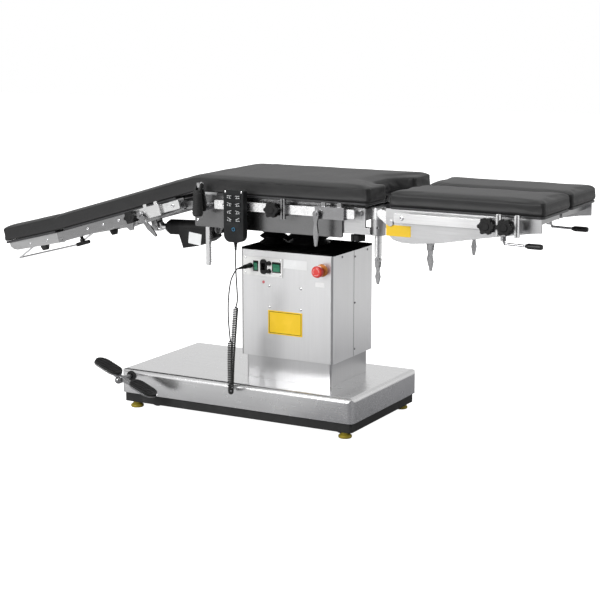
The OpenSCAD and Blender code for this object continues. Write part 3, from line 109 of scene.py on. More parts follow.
class Value:
    """A socket of a material's node tree that takes part in sums and products."""

    def __init__(self, tree: "Tree", socket: bpy.types.NodeSocket) -> None:
        """Keeps the socket and the tree that it belongs to."""
        self.tree = tree
        self.socket = socket

    def _math(self, operation: str, *terms: "Value | float") -> "Value":
        """Adds a Math node and gives its result."""
        return self.tree.value(
            "ShaderNodeMath", {"operation": operation}, dict(enumerate(terms))
        )

    def __add__(self, other: "Value | float") -> "Value":
        """Adds a value or a number."""
        return self._math("ADD", self, other)

    __radd__ = __add__

    def __sub__(self, other: "Value | float") -> "Value":
        """Takes a value or a number away."""
        return self._math("SUBTRACT", self, other)

    def __rsub__(self, other: float) -> "Value":
        """Takes this value away from a number."""
        return self._math("SUBTRACT", other, self)

    def __mul__(self, other: "Value | float") -> "Value":
        """Multiplies by a value or a number."""
        return self._math("MULTIPLY", self, other)

    __rmul__ = __mul__

    def power(self, exponent: float) -> "Value":
        """Raises to a power."""
        return self._math("POWER", self, exponent)

    def above(self, edge: float) -> "Value":
        """Gives 1 where the value lies above an edge."""
        return self._math("GREATER_THAN", self, edge)

    def distance(self) -> "Value":
        """Gives the size without its sign."""
        return self._math("ABSOLUTE", self)

    def larger(self, other: "Value | float") -> "Value":
        """Gives the larger of two values."""
        return self._math("MAXIMUM", self, other)

    def ease(self, low: float, high: float) -> "Value":
        """Rises smoothly from 0 at low to 1 at high."""
        return self.tree.value(
            "ShaderNodeMapRange",
            {"interpolation_type": "SMOOTHSTEP"},
            {"Value": self, "From Min": low, "From Max": high},
        )


class Tree:
    """The node tree of a material or of the world."""

    def __init__(self, name: str, world: bool = False) -> None:
        """Starts an empty tree.

        Args:
            name: the material's or the world's name.
            world: whether it is the world's.
        """
        self.owner = (bpy.data.worlds if world else bpy.data.materials).new(name)
        self.owner.use_nodes = True
        self.nodes = self.owner.node_tree.nodes
        self.links = self.owner.node_tree.links
        self.nodes.clear()
        kind = "ShaderNodeOutputWorld" if world else "ShaderNodeOutputMaterial"
        self.output = self.nodes.new(kind)

    def shows(self, surface: Value) -> None:
        """Leads a shader to the surface."""
        self.links.new(surface.socket, self.output.inputs["Surface"])

    def node(
        self, kind: str, settings: dict[str, object], sockets: dict[int | str, object]
    ) -> bpy.types.Node:
        """Adds any node, with its settings made before its sockets.

        Args:
            kind: the node's type.
            settings: its properties; "stops" holds a ramp's (place, colour) pairs.
            sockets: numbers, vectors or values for its inputs.

        Returns:
            The new node.
        """
        node = self.nodes.new(kind)
        for name, setting in settings.items():
            if name == "stops":
                self._set_stops(node, setting)
            else:
                setattr(node, name, setting)
        for key, item in sockets.items():
            if isinstance(item, Value):
                self.links.new(item.socket, node.inputs[key])
            else:
                node.inputs[key].default_value = item
        return node

    def value(
        self, kind: str, settings: dict[str, object] | None = None,
        sockets: dict[int | str, object] | None = None, out: int | str = 0,
    ) -> Value:
        """Adds any node and gives one of its results, the first unless it is named."""
        return Value(self, self.node(kind, settings or {}, sockets or {}).outputs[out])

    @staticmethod
    def _set_stops(node: bpy.types.Node, stops: Sequence[tuple[float, Colour]]) -> None:
        """Gives a ramp its stops."""
        elements = node.color_ramp.elements
        while len(elements) < len(stops):
            elements.new(1.0)
        for element, (place, colour) in zip(elements, stops):
            element.position = place
            element.color = (*colour, 1.0)

    def place(self, scale: Colour = (1, 1, 1)) -> Value:
        """Gives the surface's own coordinates, scaled."""
        where = self.value("ShaderNodeTexCoord", out="Object")
        return self.value("ShaderNodeMapping", {}, {"Vector": where, "Scale": scale})

    def parts(self, vector: Value) -> tuple[Value, Value, Value]:
        """Splits a vector into its three numbers."""
        node = self.node("ShaderNodeSeparateXYZ", {}, {0: vector})
        return tuple(Value(self, out) for out in node.outputs)

    def unwrapped(self, name: str) -> Value:
        """Gives the coordinates of one of the piece's own maps."""
        return self.value("ShaderNodeUVMap", {"uv_map": name})

    def noise(
        self, vector: Value, scale: float, detail: float = 3.0, warp: float = 0.0
    ) -> Value:
        """Gives a noise between 0 and 1."""
        return self.value(
            "ShaderNodeTexNoise",
            {},
            {"Vector": vector, "Scale": scale, "Detail": detail, "Distortion": warp},
            "Fac",
        )

    def cells(self, vector: Value, scale: float) -> Value:
        """Gives the distance within the cells of a pebbled surface."""
        return self.value(
            "ShaderNodeTexVoronoi", {"feature": "F1"}, {"Vector": vector, "Scale": scale},
            "Distance",
        )

    def blend(self, share: "Value | float", first: object, second: object) -> Value:
        """Mixes two colours by a share."""
        pair = [(*c, 1.0) if isinstance(c, tuple) else c for c in (first, second)]
        return self.value(
            "ShaderNodeMix", {"data_type": "RGBA"}, {0: share, 6: pair[0], 7: pair[1]}, 2
        )

    def shaded(self, colour: "Value | Colour", light: Value) -> Value:
        """Scales a colour by a value."""
        first = (*colour, 1.0) if isinstance(colour, tuple) else colour
        return self.value(
            "ShaderNodeMix", {"data_type": "RGBA", "blend_type": "MULTIPLY"},
            {0: 1.0, 6: first, 7: light}, 2,
        )

    def relief(
        self, height: Value, strength: float, depth: float, under: Value | None = None
    ) -> Value:
        """Gives the normal of a surface raised by a height."""
        sockets = {"Height": height, "Strength": strength, "Distance": depth}
        if under is not None:
            sockets["Normal"] = under
        return self.value("ShaderNodeBump", {}, sockets)

    def soft_edges(self, radius: float) -> Value:
        """Gives normals that round the sharp edges of sheet metal."""
        return self.value("ShaderNodeBevel", {"samples": 4}, {"Radius": radius})

    def principled(self, **sockets: object) -> Value:
        """Adds the Principled shader.

        Args:
            **sockets: its inputs, with underscores for spaces.

        Returns:
            The shader's result.
        """
        inputs = {
            name.replace("_", " "):
                (*item, 1.0) if isinstance(item, tuple) and len(item) == 3 else item
            for name, item in sockets.items()
        }
        return self.value("ShaderNodeBsdfPrincipled", {}, inputs)

    def dress(self, **sockets: object) -> bpy.types.Material:
        """Makes the material show a Principled shader with these inputs."""
        self.shows(self.principled(**sockets))
        return self.owner


def scaled(triple: Colour, share: float) -> Colour:
    """Scales a colour or a vector by a share."""
    return tuple(c * share for c in triple)


class Grain(Enum):
    """Direction of the brush lines on a steel part."""

    ALONG = (9.0, 420.0, 420.0)
    ACROSS = (420.0, 9.0, 420.0)
    UPRIGHT = (420.0, 420.0, 9.0)


# Finishes


@dataclass(frozen=True)
class BrushedSteel:
    """Stainless sheet with brush lines, faint cloudiness and rounded edges.

    A rail tone, where given, is that of what stands past a distance from a middle plane:
    the bars outside the side plates, or the side walls of the column's covers. Both tones
    are painted light and shade: one stainless made lighter or darker per part and per face
    for how it is lit and what it reflects.
    """

    name: str
    tone: Colour = (0.66, 0.66, 0.665)
    rail: Colour | None = None
    rail_past: tuple[int, float] = (1, 0.2600)
    grain: Grain = Grain.ALONG
    roughness: float = 0.30
    lines: float = 0.08
    cloud: float = 0.10

    def material(self) -> bpy.types.Material:
        """Builds the finish."""
        tree = Tree(self.name)
        brush = tree.noise(tree.place(self.grain.value), 1.0, 4.0)
        wide = tree.noise(tree.place(scaled(self.grain.value, 0.18)), 1.0, 2.0)
        cloud = tree.noise(tree.place((1, 1, 1)), 5.0, 2.0, 0.6)
        prints = tree.noise(tree.place((1, 1, 1)), 38.0, 4.0, 1.4).ease(0.60, 0.74)
        shade = brush * 0.45 + wide * 0.3 + cloud * 0.25
        # Painted light and shade: the tone, and the rail tone past the middle plane, are set per
        # part for how it is lit and what it reflects.
        tone: object = self.tone
        if self.rail:
            axis, past = self.rail_past
            out = tree.parts(tree.place())[axis].distance()
            tone = tree.blend(out.above(past), self.tone, self.rail)
        colour = tree.shaded(tone, 1.0 - (1.0 - shade.ease(0.35, 0.66)) * self.cloud)
        rough = self.roughness + (brush - 0.5) * self.lines + prints * 0.05 + (cloud - 0.5) * 0.08
        normal = tree.relief(brush + wide * 0.5, 0.07, 0.0004, tree.soft_edges(0.0009))
        return tree.dress(Base_Color=colour, Metallic=1.0, Roughness=rough, Normal=normal)


@dataclass(frozen=True)
class BrightSteel:
    """Plated or polished steel with wipe marks."""

    name: str
    tone: Colour = (0.74, 0.74, 0.75)
    roughness: float = 0.10

    def material(self) -> bpy.types.Material:
        """Builds the finish."""
        tree = Tree(self.name)
        smear = tree.noise(tree.place((1, 1, 1)), 60.0, 4.0, 1.0)
        scuff = tree.noise(tree.place((300, 60, 300)), 1.0, 5.0).ease(0.58, 0.75)
        colour = tree.blend(smear.ease(0.3, 0.7), scaled(self.tone, 0.88), self.tone)
        rough = self.roughness + smear * 0.10 + scuff * 0.12
        normal = tree.relief(scuff + smear * 0.4, 0.06, 0.0002, tree.soft_edges(0.0007))
        return tree.dress(Base_Color=colour, Metallic=1.0, Roughness=rough, Normal=normal)


@dataclass(frozen=True)
class GrippedSteel:
    """Bright wire handle whose outer end wears a black sleeve."""

    name: str
    edge: float = 0.882

    def material(self) -> bpy.types.Material:
        """Builds the finish."""
        tree = Tree(self.name)
        x, _, _ = tree.parts(tree.place())
        sleeve = x.above(self.edge)
        grit = tree.noise(tree.place(), 900.0, 2.0)
        smear = tree.noise(tree.place(), 60.0, 4.0, 1.0)
        colour = tree.blend(
            sleeve, tree.blend(smear, (0.42, 0.42, 0.43), (0.52, 0.52, 0.53)),
            tree.blend(smear, (0.012, 0.012, 0.012), (0.022, 0.022, 0.022)),
        )
        rough = 0.12 + smear * 0.08 + sleeve * 0.30
        normal = tree.relief(grit, 0.06, 0.0002, tree.soft_edges(0.0006))
        return tree.dress(
            Base_Color=colour, Metallic=1.0 - sleeve, Roughness=rough, Normal=normal
        )


@dataclass(frozen=True)
class Vinyl:
    """Black upholstery vinyl with a fine leather grain and faint pull lines."""

    name: str
    tone: Colour = (0.0115, 0.0115, 0.0118)
    worn: Colour = (0.0175, 0.0175, 0.0180)

    def material(self) -> bpy.types.Material:
        """Builds the finish."""
        tree = Tree(self.name)
        here = tree.place()
        pebble = tree.cells(here, 950.0)
        fine = tree.noise(here, 2600.0, 2.0)
        sweep = tree.noise(here, 6.0, 3.0, 0.8)
        mottled = tree.noise(here, 55.0, 3.0)
        pulled = tree.noise(tree.place((14, 5, 14)), 1.0, 3.0, 1.2)
        colour = tree.blend(
            (sweep * 0.6 + mottled * 0.25 + pebble * 0.3).ease(0.40, 0.80), self.tone, self.worn
        )
        along, below, _ = tree.parts(tree.unwrapped("seams"))
        edge = 1.0 - (below - SEAM_DEPTH).distance().ease(0.0004, 0.0012)
        upright = 1.0 - (along - SEAM_FROM_END).distance().ease(0.0004, 0.0012)
        seam = edge.larger(upright * below.above(SEAM_DEPTH))
        rough = 0.50 + sweep * 0.10 - pebble * 0.06 + mottled * 0.05
        waves = tree.relief(pulled - seam * 0.5, 0.20, 0.004)
        normal = tree.relief(pebble * 0.8 + fine * 0.25, 0.16, 0.0004, waves)
        return tree.dress(
            Base_Color=tree.shaded(colour, 1.0 - seam * 0.6),
            Roughness=rough,
            Normal=normal,
            Sheen_Weight=0.04,
            Sheen_Roughness=0.45,
            Specular_IOR_Level=0.36,
        )


@dataclass(frozen=True)
class Moulded:
    """Moulded plastic or rubber with a spark-eroded texture."""

    name: str
    tone: Colour
    roughness: float = 0.5
    texture: float = 1400.0
    depth: float = 0.10
    coat: float = 0.0
    shine: float = 0.5

    def material(self) -> bpy.types.Material:
        """Builds the finish."""
        tree = Tree(self.name)
        here = tree.place()
        grit = tree.noise(here, self.texture, 2.0)
        patch = tree.noise(here, 24.0, 3.0, 0.6)
        dust = tree.noise(here, 140.0, 5.0).ease(0.60, 0.80)
        faded = tuple(c + (0.5 - c) * 0.05 for c in self.tone)
        colour = tree.blend(
            (patch * 0.7 + dust * 0.3).ease(0.30, 0.75), scaled(self.tone, 0.86), faded
        )
        rough = self.roughness + (patch - 0.5) * 0.12 + dust * 0.10
        normal = tree.relief(grit, self.depth, 0.0003, tree.soft_edges(0.0007))
        return tree.dress(
            Base_Color=colour, Roughness=rough, Normal=normal, Coat_Weight=self.coat,
            Specular_IOR_Level=self.shine,
        )


@dataclass(frozen=True)
class Painted:
    """Enamelled or plated steel with orange peel and rubbed spots."""

    name: str
    tone: Colour
    roughness: float = 0.42
    metal: float = 0.0

    def material(self) -> bpy.types.Material:
        """Builds the finish."""
        tree = Tree(self.name)
        here = tree.place()
        peel = tree.noise(here, 420.0, 2.0)
        grime = tree.noise(here, 18.0, 5.0, 0.8)
        rub = tree.noise(here, 90.0, 5.0, 0.4).ease(0.62, 0.78)
        colour = tree.blend(
            (grime * 0.8 + rub * 0.2).ease(0.3, 0.75), scaled(self.tone, 0.78), self.tone
        )
        rough = self.roughness + (grime - 0.5) * 0.18 + rub * 0.08
        normal = tree.relief(peel + grime * 0.4, 0.08, 0.0005, tree.soft_edges(0.001))
        return tree.dress(
            Base_Color=colour, Roughness=rough, Normal=normal, Metallic=self.metal
        )


@dataclass(frozen=True)
class PanelBoard:
    """White control plate whose rocker frames are black."""

    name: str
    rockers: tuple[float, ...] = (-0.1195, -0.038)
    middle: float = 0.541
    half_widths: tuple[float, float] = (0.0100, 0.0170)
    half_height: float = 0.0185

    def material(self) -> bpy.types.Material:
        """Builds the finish."""
        tree = Tree(self.name)
        x, _, z = tree.parts(tree.place())
        frame_share: Value | None = None
        for centre, width in zip(self.rockers, self.half_widths):
            inside = (1.0 - (x - centre).distance().above(width)) * (
                1.0 - (z - self.middle).distance().above(self.half_height)
            )
            frame_share = inside if frame_share is None else frame_share.larger(inside)
        speck = tree.noise(tree.place(), 60.0, 4.0)
        plate = tree.blend(speck.ease(0.4, 0.8), (0.74, 0.74, 0.73), (0.80, 0.80, 0.79))
        colour = tree.blend(frame_share, plate, (0.012, 0.012, 0.012))
        grit = tree.noise(tree.place(), 1200.0, 2.0)
        return tree.dress(
            Base_Color=colour,
            Roughness=0.34 + speck * 0.12,
            Normal=tree.relief(grit, 0.05, 0.0002, tree.soft_edges(0.0006)),
        )


RECIPES = (
    # Painted light and shade: the steel parts share one brushed stainless, and their tones differ
    # per part for how each is lit and what it reflects.
    BrushedSteel(
        "steel_seat", tone=(0.20, 0.20, 0.202), rail=(0.88, 0.88, 0.88), roughness=0.24,
    ),
    BrushedSteel(
        "steel_back", tone=(0.34, 0.34, 0.343), rail=(0.88, 0.88, 0.88), roughness=0.24,
    ),
    BrushedSteel("steel_leg", tone=(0.54, 0.54, 0.543), rail=(0.72, 0.72, 0.72)),
    BrushedSteel(
        "steel_upright", tone=(0.67, 0.67, 0.675), rail=(0.86, 0.86, 0.865),
        rail_past=(0, 0.1788), grain=Grain.UPRIGHT, roughness=0.31, lines=0.05, cloud=0.05,
    ),
    BrushedSteel(
        "steel_lower", tone=(0.55, 0.55, 0.555), grain=Grain.UPRIGHT, roughness=0.31,
        lines=0.05, cloud=0.05,
    ),
    BrushedSteel("steel_base", tone=(0.78, 0.78, 0.785), roughness=0.25, cloud=0.07),
    BrushedSteel("steel_cross", grain=Grain.ACROSS),
    BrightSteel("bright"),
    BrightSteel("bright_rail", tone=(0.95, 0.95, 0.95), roughness=0.22),
    GrippedSteel("sleeved"),
    BrightSteel("cast", tone=(0.31, 0.31, 0.315), roughness=0.20),
    Vinyl("vinyl"),
    Moulded("board", (0.030, 0.030, 0.032), roughness=0.36, texture=500.0),
    Moulded("rubber", (0.011, 0.011, 0.011), roughness=0.66, texture=900.0, depth=0.16),
    Moulded(
        "pleats", (0.005, 0.005, 0.005), roughness=0.45, texture=700.0, depth=0.12, shine=0.25,
    ),
    Moulded("plastic", (0.009, 0.009, 0.0092), shine=0.22),
    Moulded(
        "cap_gloss", (0.004, 0.004, 0.004), roughness=0.12, texture=200.0, depth=0.02,
        shine=0.0,
    ),
    Moulded("handset", (0.0070, 0.0082, 0.0090), roughness=0.50, depth=0.08, shine=0.22),
    Moulded("legend", (0.62, 0.63, 0.64), texture=800.0),
    Moulded("ring_blue", (0.02, 0.20, 0.38), roughness=0.3, texture=600.0),
    Moulded("red", (0.80, 0.045, 0.035), roughness=0.34, texture=600.0, coat=0.2),
    Moulded("pink", (0.62, 0.12, 0.14), texture=600.0),
    Moulded("amber", (0.85, 0.30, 0.06), roughness=0.4, texture=600.0),
    Moulded("green", (0.010, 0.20, 0.10), roughness=0.20, texture=300.0, coat=0.5),
    Moulded("yellow", (0.96, 0.62, 0.004), roughness=0.38, texture=400.0, depth=0.05),
    Moulded("paper", (0.90, 0.91, 0.91), roughness=0.42, texture=500.0, depth=0.05),
    PanelBoard("panel"),
    Painted("dark_paint", (0.030, 0.030, 0.032)),
    Painted("machined", (0.34, 0.34, 0.35), 0.36, 1.0),
    Painted("olive", (0.46, 0.36, 0.040), 0.40, 0.3),
)


# Forms


@dataclass
class Form:
    """One closed form: its corner points and its faces."""

    points: list[Vector]
    faces: list[tuple[int, ...]]

    def moved(self, matrix: Matrix) -> "Form":
        """Gives the form carried by a matrix."""
        return Form([matrix @ p for p in self.points], self.faces)

    def mapped(self, rule: Callable[[Vector], Vector]) -> "Form":
        """Gives the form with a rule applied to each point."""
        return Form([rule(p) for p in self.points], self.faces)

    def far_side(self) -> "Form":
        """Gives the mirror image across the table's middle plane."""
        return self.mapped(lambda p: Vector((p.x, -p.y, p.z)))


def loft(rings: Sequence[Ring], ends: bool = True) -> Form:
    """Joins rings of equal length into one skin.

    Args:
        rings: the rings in order.
        ends: whether the first and last rings are closed by a face.

    Returns:
        The skinned form.
    """
    count = len(rings[0])
    faces = [
        (k * count + i, k * count + (i + 1) % count, (k + 1) * count + (i + 1) % count,
         (k + 1) * count + i)
        for k in range(len(rings) - 1)
        for i in range(count)
    ]
    if ends:
        top = (len(rings) - 1) * count
        faces += [tuple(range(count))[::-1], tuple(range(top, top + count))]
    return Form([p for ring in rings for p in ring], faces)


def circle(radius: float, z: float, steps: int) -> Ring:
    """Gives a level ring of points about the origin, counterclockwise."""
    angles = (2 * math.pi * i / steps for i in range(steps))
    return [Vector((radius * math.cos(a), radius * math.sin(a), z)) for a in angles]


def turned(profile: Sequence[tuple[float, float]], steps: int = 32) -> Form:
    """Turns a profile of (radius, height) about Z."""
    return loft([circle(r, z, steps) for r, z in profile])


def rounded(width: float, height: float, radius: float, z: float) -> Ring:
    """Gives a level rounded rectangle about the origin, counterclockwise."""
    steps = 6
    points = []
    for sx, sy, start in ((1, 1, 0), (-1, 1, 90), (-1, -1, 180), (1, -1, 270)):
        for i in range(steps + 1):
            a = math.radians(start + 90 * i / steps)
            points.append(Vector(
                (sx * (width / 2 - radius) + radius * math.cos(a),
                 sy * (height / 2 - radius) + radius * math.sin(a), z)
            ))
    return points


def slab(
    width: float, height: float, thick: float, radius: float, chamfer: float = 0.0004
) -> Form:
    """Gives a flat plate with rounded corners and eased edges, its back on Z = 0."""
    full = (width, height, radius)
    small = (width - 2 * chamfer, height - 2 * chamfer, radius - chamfer / 2)
    return loft([rounded(*full, 0.0), rounded(*full, thick - chamfer), rounded(*small, thick)])


def hoop(width: float, height: float, band: float, thick: float, radius: float) -> Form:
    """Gives a flat rectangular band, such as a printed border, with its back on Z = 0."""
    outer = (width, height, radius)
    inner = (width - 2 * band, height - 2 * band, max(radius - band, band / 2))
    walls = ((outer, 0.0), (outer, thick), (inner, thick), (inner, 0.0), (outer, 0.0))
    return loft([rounded(*size, z) for size, z in walls], ends=False)


def tube(path: Sequence[Vector], radius: float, sides: int = 10) -> Form:
    """Gives a round bar along a path."""
    side = Vector((0, 0, 1))
    rings = []
    for i, point in enumerate(path):
        along = (path[min(i + 1, len(path) - 1)] - path[max(i - 1, 0)]).normalized()
        if abs(side.dot(along)) > 0.95:
            side = Vector((0, 1, 0))
        side = (side - along * side.dot(along)).normalized()
        other = along.cross(side)
        rings.append([point + side * p.x + other * p.y for p in circle(radius, 0.0, sides)])
    return loft(rings)


class Drive(Enum):
    """Shape of the recess in a screw head."""

    HEX = "hex"
    CROSS = "cross"


def screw_head(radius: float, height: float, drive: Drive) -> Form:
    """Gives a pan head with its recess, standing on Z = 0."""
    steps = 24

    def recess(share: float, z: float) -> Ring:
        ring = []
        for i, point in enumerate(circle(share * radius, z, steps)):
            if drive is Drive.HEX:
                sector = (2 * math.pi * i / steps + math.pi / 6) % (math.pi / 3) - math.pi / 6
                reach = math.cos(math.pi / 6) / math.cos(sector)
            else:
                reach = 1.0 if min(i % 6, 6 - i % 6) <= 1 else 0.42
            ring.append(Vector((point.x * reach, point.y * reach, z)))
        return ring

    return loft([
        circle(radius, 0.0, steps),
        circle(radius, 0.45 * height, steps),
        circle(0.93 * radius, 0.78 * height, steps),
        circle(0.72 * radius, height, steps),
        recess(0.56, height),
        recess(0.50, 0.30 * height),
    ])


def facing(normal: Vector, at: Vector, turn: float = 0.0) -> Matrix:
    """Gives the matrix that stands a form's +Z along a normal at a place.

    Args:
        normal: the way that the form's +Z goes.
        at: where its origin goes.
        turn: how far it is turned about the normal, in radians.

    Returns:
        The matrix, with the form's +X kept level.
    """
    z = normal.normalized()
    x = Vector((1, 0, 0)) if abs(z.x) < 0.9 else Vector((0, 1, 0))
    x = (x - z * x.dot(z)).normalized()
    y = z.cross(x)
    turned_frame = Matrix((x, y, z)).transposed().to_4x4()
    return Matrix.Translation(at) @ turned_frame @ Matrix.Rotation(turn, 4, "Z")


FRONT = Vector((0, -1, 0))
BACK = Vector((0, 1, 0))
# Level way from the table towards the camera, where the studio is dark
AHEAD = (0.485, -0.875)


def screws(
    places: Sequence[Sequence[float]], radius: float, height: float,
    normal: Vector = FRONT, drive: Drive = Drive.HEX, turn: float = 0.35,
) -> list[Form]:
    """Gives a screw at each place, each turned a little further than the last."""
    head = screw_head(radius, height, drive)
    return [head.moved(facing(normal, Vector(p), turn * i)) for i, p in enumerate(places)]


def mirrored(places: Sequence[Sequence[float]]) -> list[Vector]:
    """Gives places mirrored across the table's middle plane."""
    return [Vector((x, -y, z)) for x, y, z in places]


def add(name: str, data: bpy.types.ID) -> bpy.types.Object:
    """Adds an object to the scene."""
    made = bpy.data.objects.new(name, data)
    bpy.context.scene.collection.objects.link(made)
    return made


def joined(name: str, forms: Sequence[Form]) -> bpy.types.Mesh:
    """Makes one mesh of closed forms, with its faces turned outwards."""
    mesh = bpy.data.meshes.new(name)
    points: list[Vector] = []
    faces: list[tuple[int, ...]] = []
    for form in forms:
        start = len(points)
        points += form.points
        faces += [tuple(start + i for i in face) for face in form.faces]
    mesh.from_pydata(points, [], faces)
    work = bmesh.new()
    work.from_mesh(mesh)
    bmesh.ops.recalc_face_normals(work, faces=work.faces)
    work.to_mesh(mesh)
    work.free()
    return mesh


def piece(
    name: str,
    forms: Sequence[Form],
    material: bpy.types.Material,
    body: str | None,
    smooth: float = 35.0,
    node: str | None = None,
) -> bpy.types.Object:
    """Makes one piece of the scene and puts it on its body.

    Args:
        name: the piece's name.
        forms: the closed forms that it is made of.
        material: its finish.
        body: the CAD body that it rides on, or None for no body.
        smooth: edges sharper than this many degrees stay crisp.
        node: the CAD node that it stands in for, if any.

    Returns:
        The piece.
    """
    return finish_piece(name, joined(name, forms), material, body, smooth, node)


def finish_piece(
    name: str,
    mesh: bpy.types.Mesh,
    material: bpy.types.Material,
    body: str | None,
    smooth: float = 35.0,
    node: str | None = None,
) -> bpy.types.Object:
    """Links a mesh as a piece, shades it and puts it on its body."""
    mesh.shade_smooth()
    mesh.set_sharp_from_angle(angle=math.radians(smooth))
    made = add(name, mesh)
    mesh.materials.clear()
    mesh.materials.append(material)
    if body:
        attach(made, body)
    if node:
        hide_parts(node)
    LOG.info("%s: %d faces on %s", name, len(mesh.polygons), body)
    return made


# Studio


@dataclass
class Studio:
    """Camera at the photograph's viewing angle, pale floor and soft lamps."""

    place: Vector = field(default_factory=lambda: Vector((2.5907, -4.7309, 1.4533)))
    azimuth: float = 28.979
    elevation: float = 10.980
    lens: float = 94.23

    def build(self) -> None:
        """Makes the camera, the floor, the world and the lamps."""
        az, el = math.radians(self.azimuth), math.radians(self.elevation)
        ahead = Vector(
            (-math.sin(az) * math.cos(el), math.cos(az) * math.cos(el), -math.sin(el))
        )
        data = bpy.data.cameras.new("camera")
        data.lens = self.lens
        data.sensor_width = 36.0
        camera = add("camera", data)
        camera.location = self.place
        camera.rotation_euler = ahead.to_track_quat("-Z", "Y").to_euler()
        bpy.context.scene.camera = camera
        bpy.context.scene.view_settings.view_transform = "Standard"
        self._floor()
        self._world()
        self._lamp("key", (-0.9, -4.3, 2.2), (0.0, 0.0, 0.50), 2.0, 150.0)
        self._lamp("top", (0.3, 0.6, 3.6), (0.0, 0.0, 0.8), 2.6, 30.0)
        self._lamp("rim", (2.8, 1.6, 2.2), (0.2, 0.0, 0.7), 1.4, 14.0)

    @staticmethod
    def _lamp(name: str, at: Colour, towards: Colour, size: float, power: float) -> None:
        """Adds one square soft lamp.

        Args:
            name: the lamp's name.
            at: where it hangs.
            towards: the point that it lights.
            size: its side in metres.
            power: its power in watts.
        """
        data = bpy.data.lights.new(name, "AREA")
        data.size = size
        data.energy = power
        lamp = add(name, data)
        lamp.location = at
        way = Vector(towards) - Vector(at)
        lamp.rotation_euler = way.to_track_quat("-Z", "Y").to_euler()

    @staticmethod
    def _floor() -> None:
        """Makes the pale floor, which the camera sees white; for light and gloss it holds painted
        shade beside and under the table and is dark in front.
        """
        mesh = bpy.data.meshes.new("studio_floor")
        mesh.from_pydata(
            [(-14, -14, 0), (14, -14, 0), (14, 14, 0), (-14, 14, 0)], [], [(0, 1, 2, 3)]
        )
        floor = add("studio_floor", mesh)
        tree = Tree("studio_floor")
        seen = tree.value("ShaderNodeLightPath", out="Is Camera Ray")
        x, y, _ = tree.parts(tree.place())
        reach = (x * x + y * y).power(0.5) + 0.01
        ahead = (x * AHEAD[0] + y * AHEAD[1]) * reach.power(-1.0)
        # Painted shadow: the tone that light and gloss see is darker beside and under the table,
        # for the table's shade on the floor, and darker ahead, towards the camera.
        shade_beside = x.ease(-0.1, 0.4) * (1.0 - reach.ease(0.7, 2.3))
        under = (1.0 - reach.ease(0.6, 1.4)) * 0.55
        dark = ahead.ease(0.62, 0.95).larger(shade_beside * 0.95).larger(under)
        tone = tree.blend(dark, (0.72, 0.72, 0.72), (0.24, 0.24, 0.25))
        matte = tree.principled(Base_Color=tone, Roughness=0.9, Specular_IOR_Level=0.0)
        glow = tree.value(
            "ShaderNodeEmission", {}, {"Color": (1.0, 1.0, 1.0, 1.0), "Strength": seen}
        )
        tree.shows(tree.value("ShaderNodeAddShader", {}, {0: matte, 1: glow}))
        mesh.materials.append(tree.owner)

    @staticmethod
    def _world() -> None:
        """Makes the surroundings: white to the camera, a soft studio for light and gloss."""
        tree = Tree("studio_world", world=True)
        bpy.context.scene.world = tree.owner
        way = tree.value("ShaderNodeTexCoord", out="Generated")
        lift = tree.value(
            "ShaderNodeMapRange", {}, {"Value": tree.parts(way)[2], "From Min": -1.0}
        )
        stops = ((0.0, 0.45), (0.50, 0.74), (0.62, 0.86), (0.80, 0.62), (1.0, 0.90))
        height = tree.value(
            "ShaderNodeValToRGB", {"stops": [(place, (g, g, g)) for place, g in stops]},
            {"Fac": lift},
        )
        ahead = tree.value(
            "ShaderNodeVectorMath", {"operation": "DOT_PRODUCT"}, {0: way, 1: (*AHEAD, 0.0)},
            "Value",
        )
        side = tree.value(
            "ShaderNodeMapRange", {"interpolation_type": "SMOOTHSTEP"},
            {"Value": ahead, "From Min": 0.60, "From Max": 0.95, "To Min": 1.0, "To Max": 0.22},
        )
        shade = tree.value(
            "ShaderNodeVectorMath", {"operation": "SCALE"}, {0: height, "Scale": side}
        )
        studio = tree.value("ShaderNodeBackground", {}, {"Color": shade})
        white = tree.value("ShaderNodeBackground", {}, {"Color": (1.0, 1.0, 1.0, 1.0)})
        seen = tree.value("ShaderNodeLightPath", out="Is Camera Ray")
        tree.shows(tree.value("ShaderNodeMixShader", {}, {0: seen, 1: studio, 2: white}))


# Handset and its cord


def smooth_path(points: Sequence[Vector], steps: int) -> list[Vector]:
    """Gives a smooth curve through points, with a number of steps to a stretch."""
    path = []
    for i in range(len(points) - 1):
        a, b = points[max(i - 1, 0)], points[i]
        c, d = points[i + 1], points[min(i + 2, len(points) - 1)]
        for k in range(steps):
            t = k / steps
            path.append(
                0.5 * (2 * b + (c - a) * t + (2 * a - 5 * b + 4 * c - d) * t * t
                       + (3 * b - a - 3 * c + d) * t**3)
            )
    return [*path, points[-1].copy()]


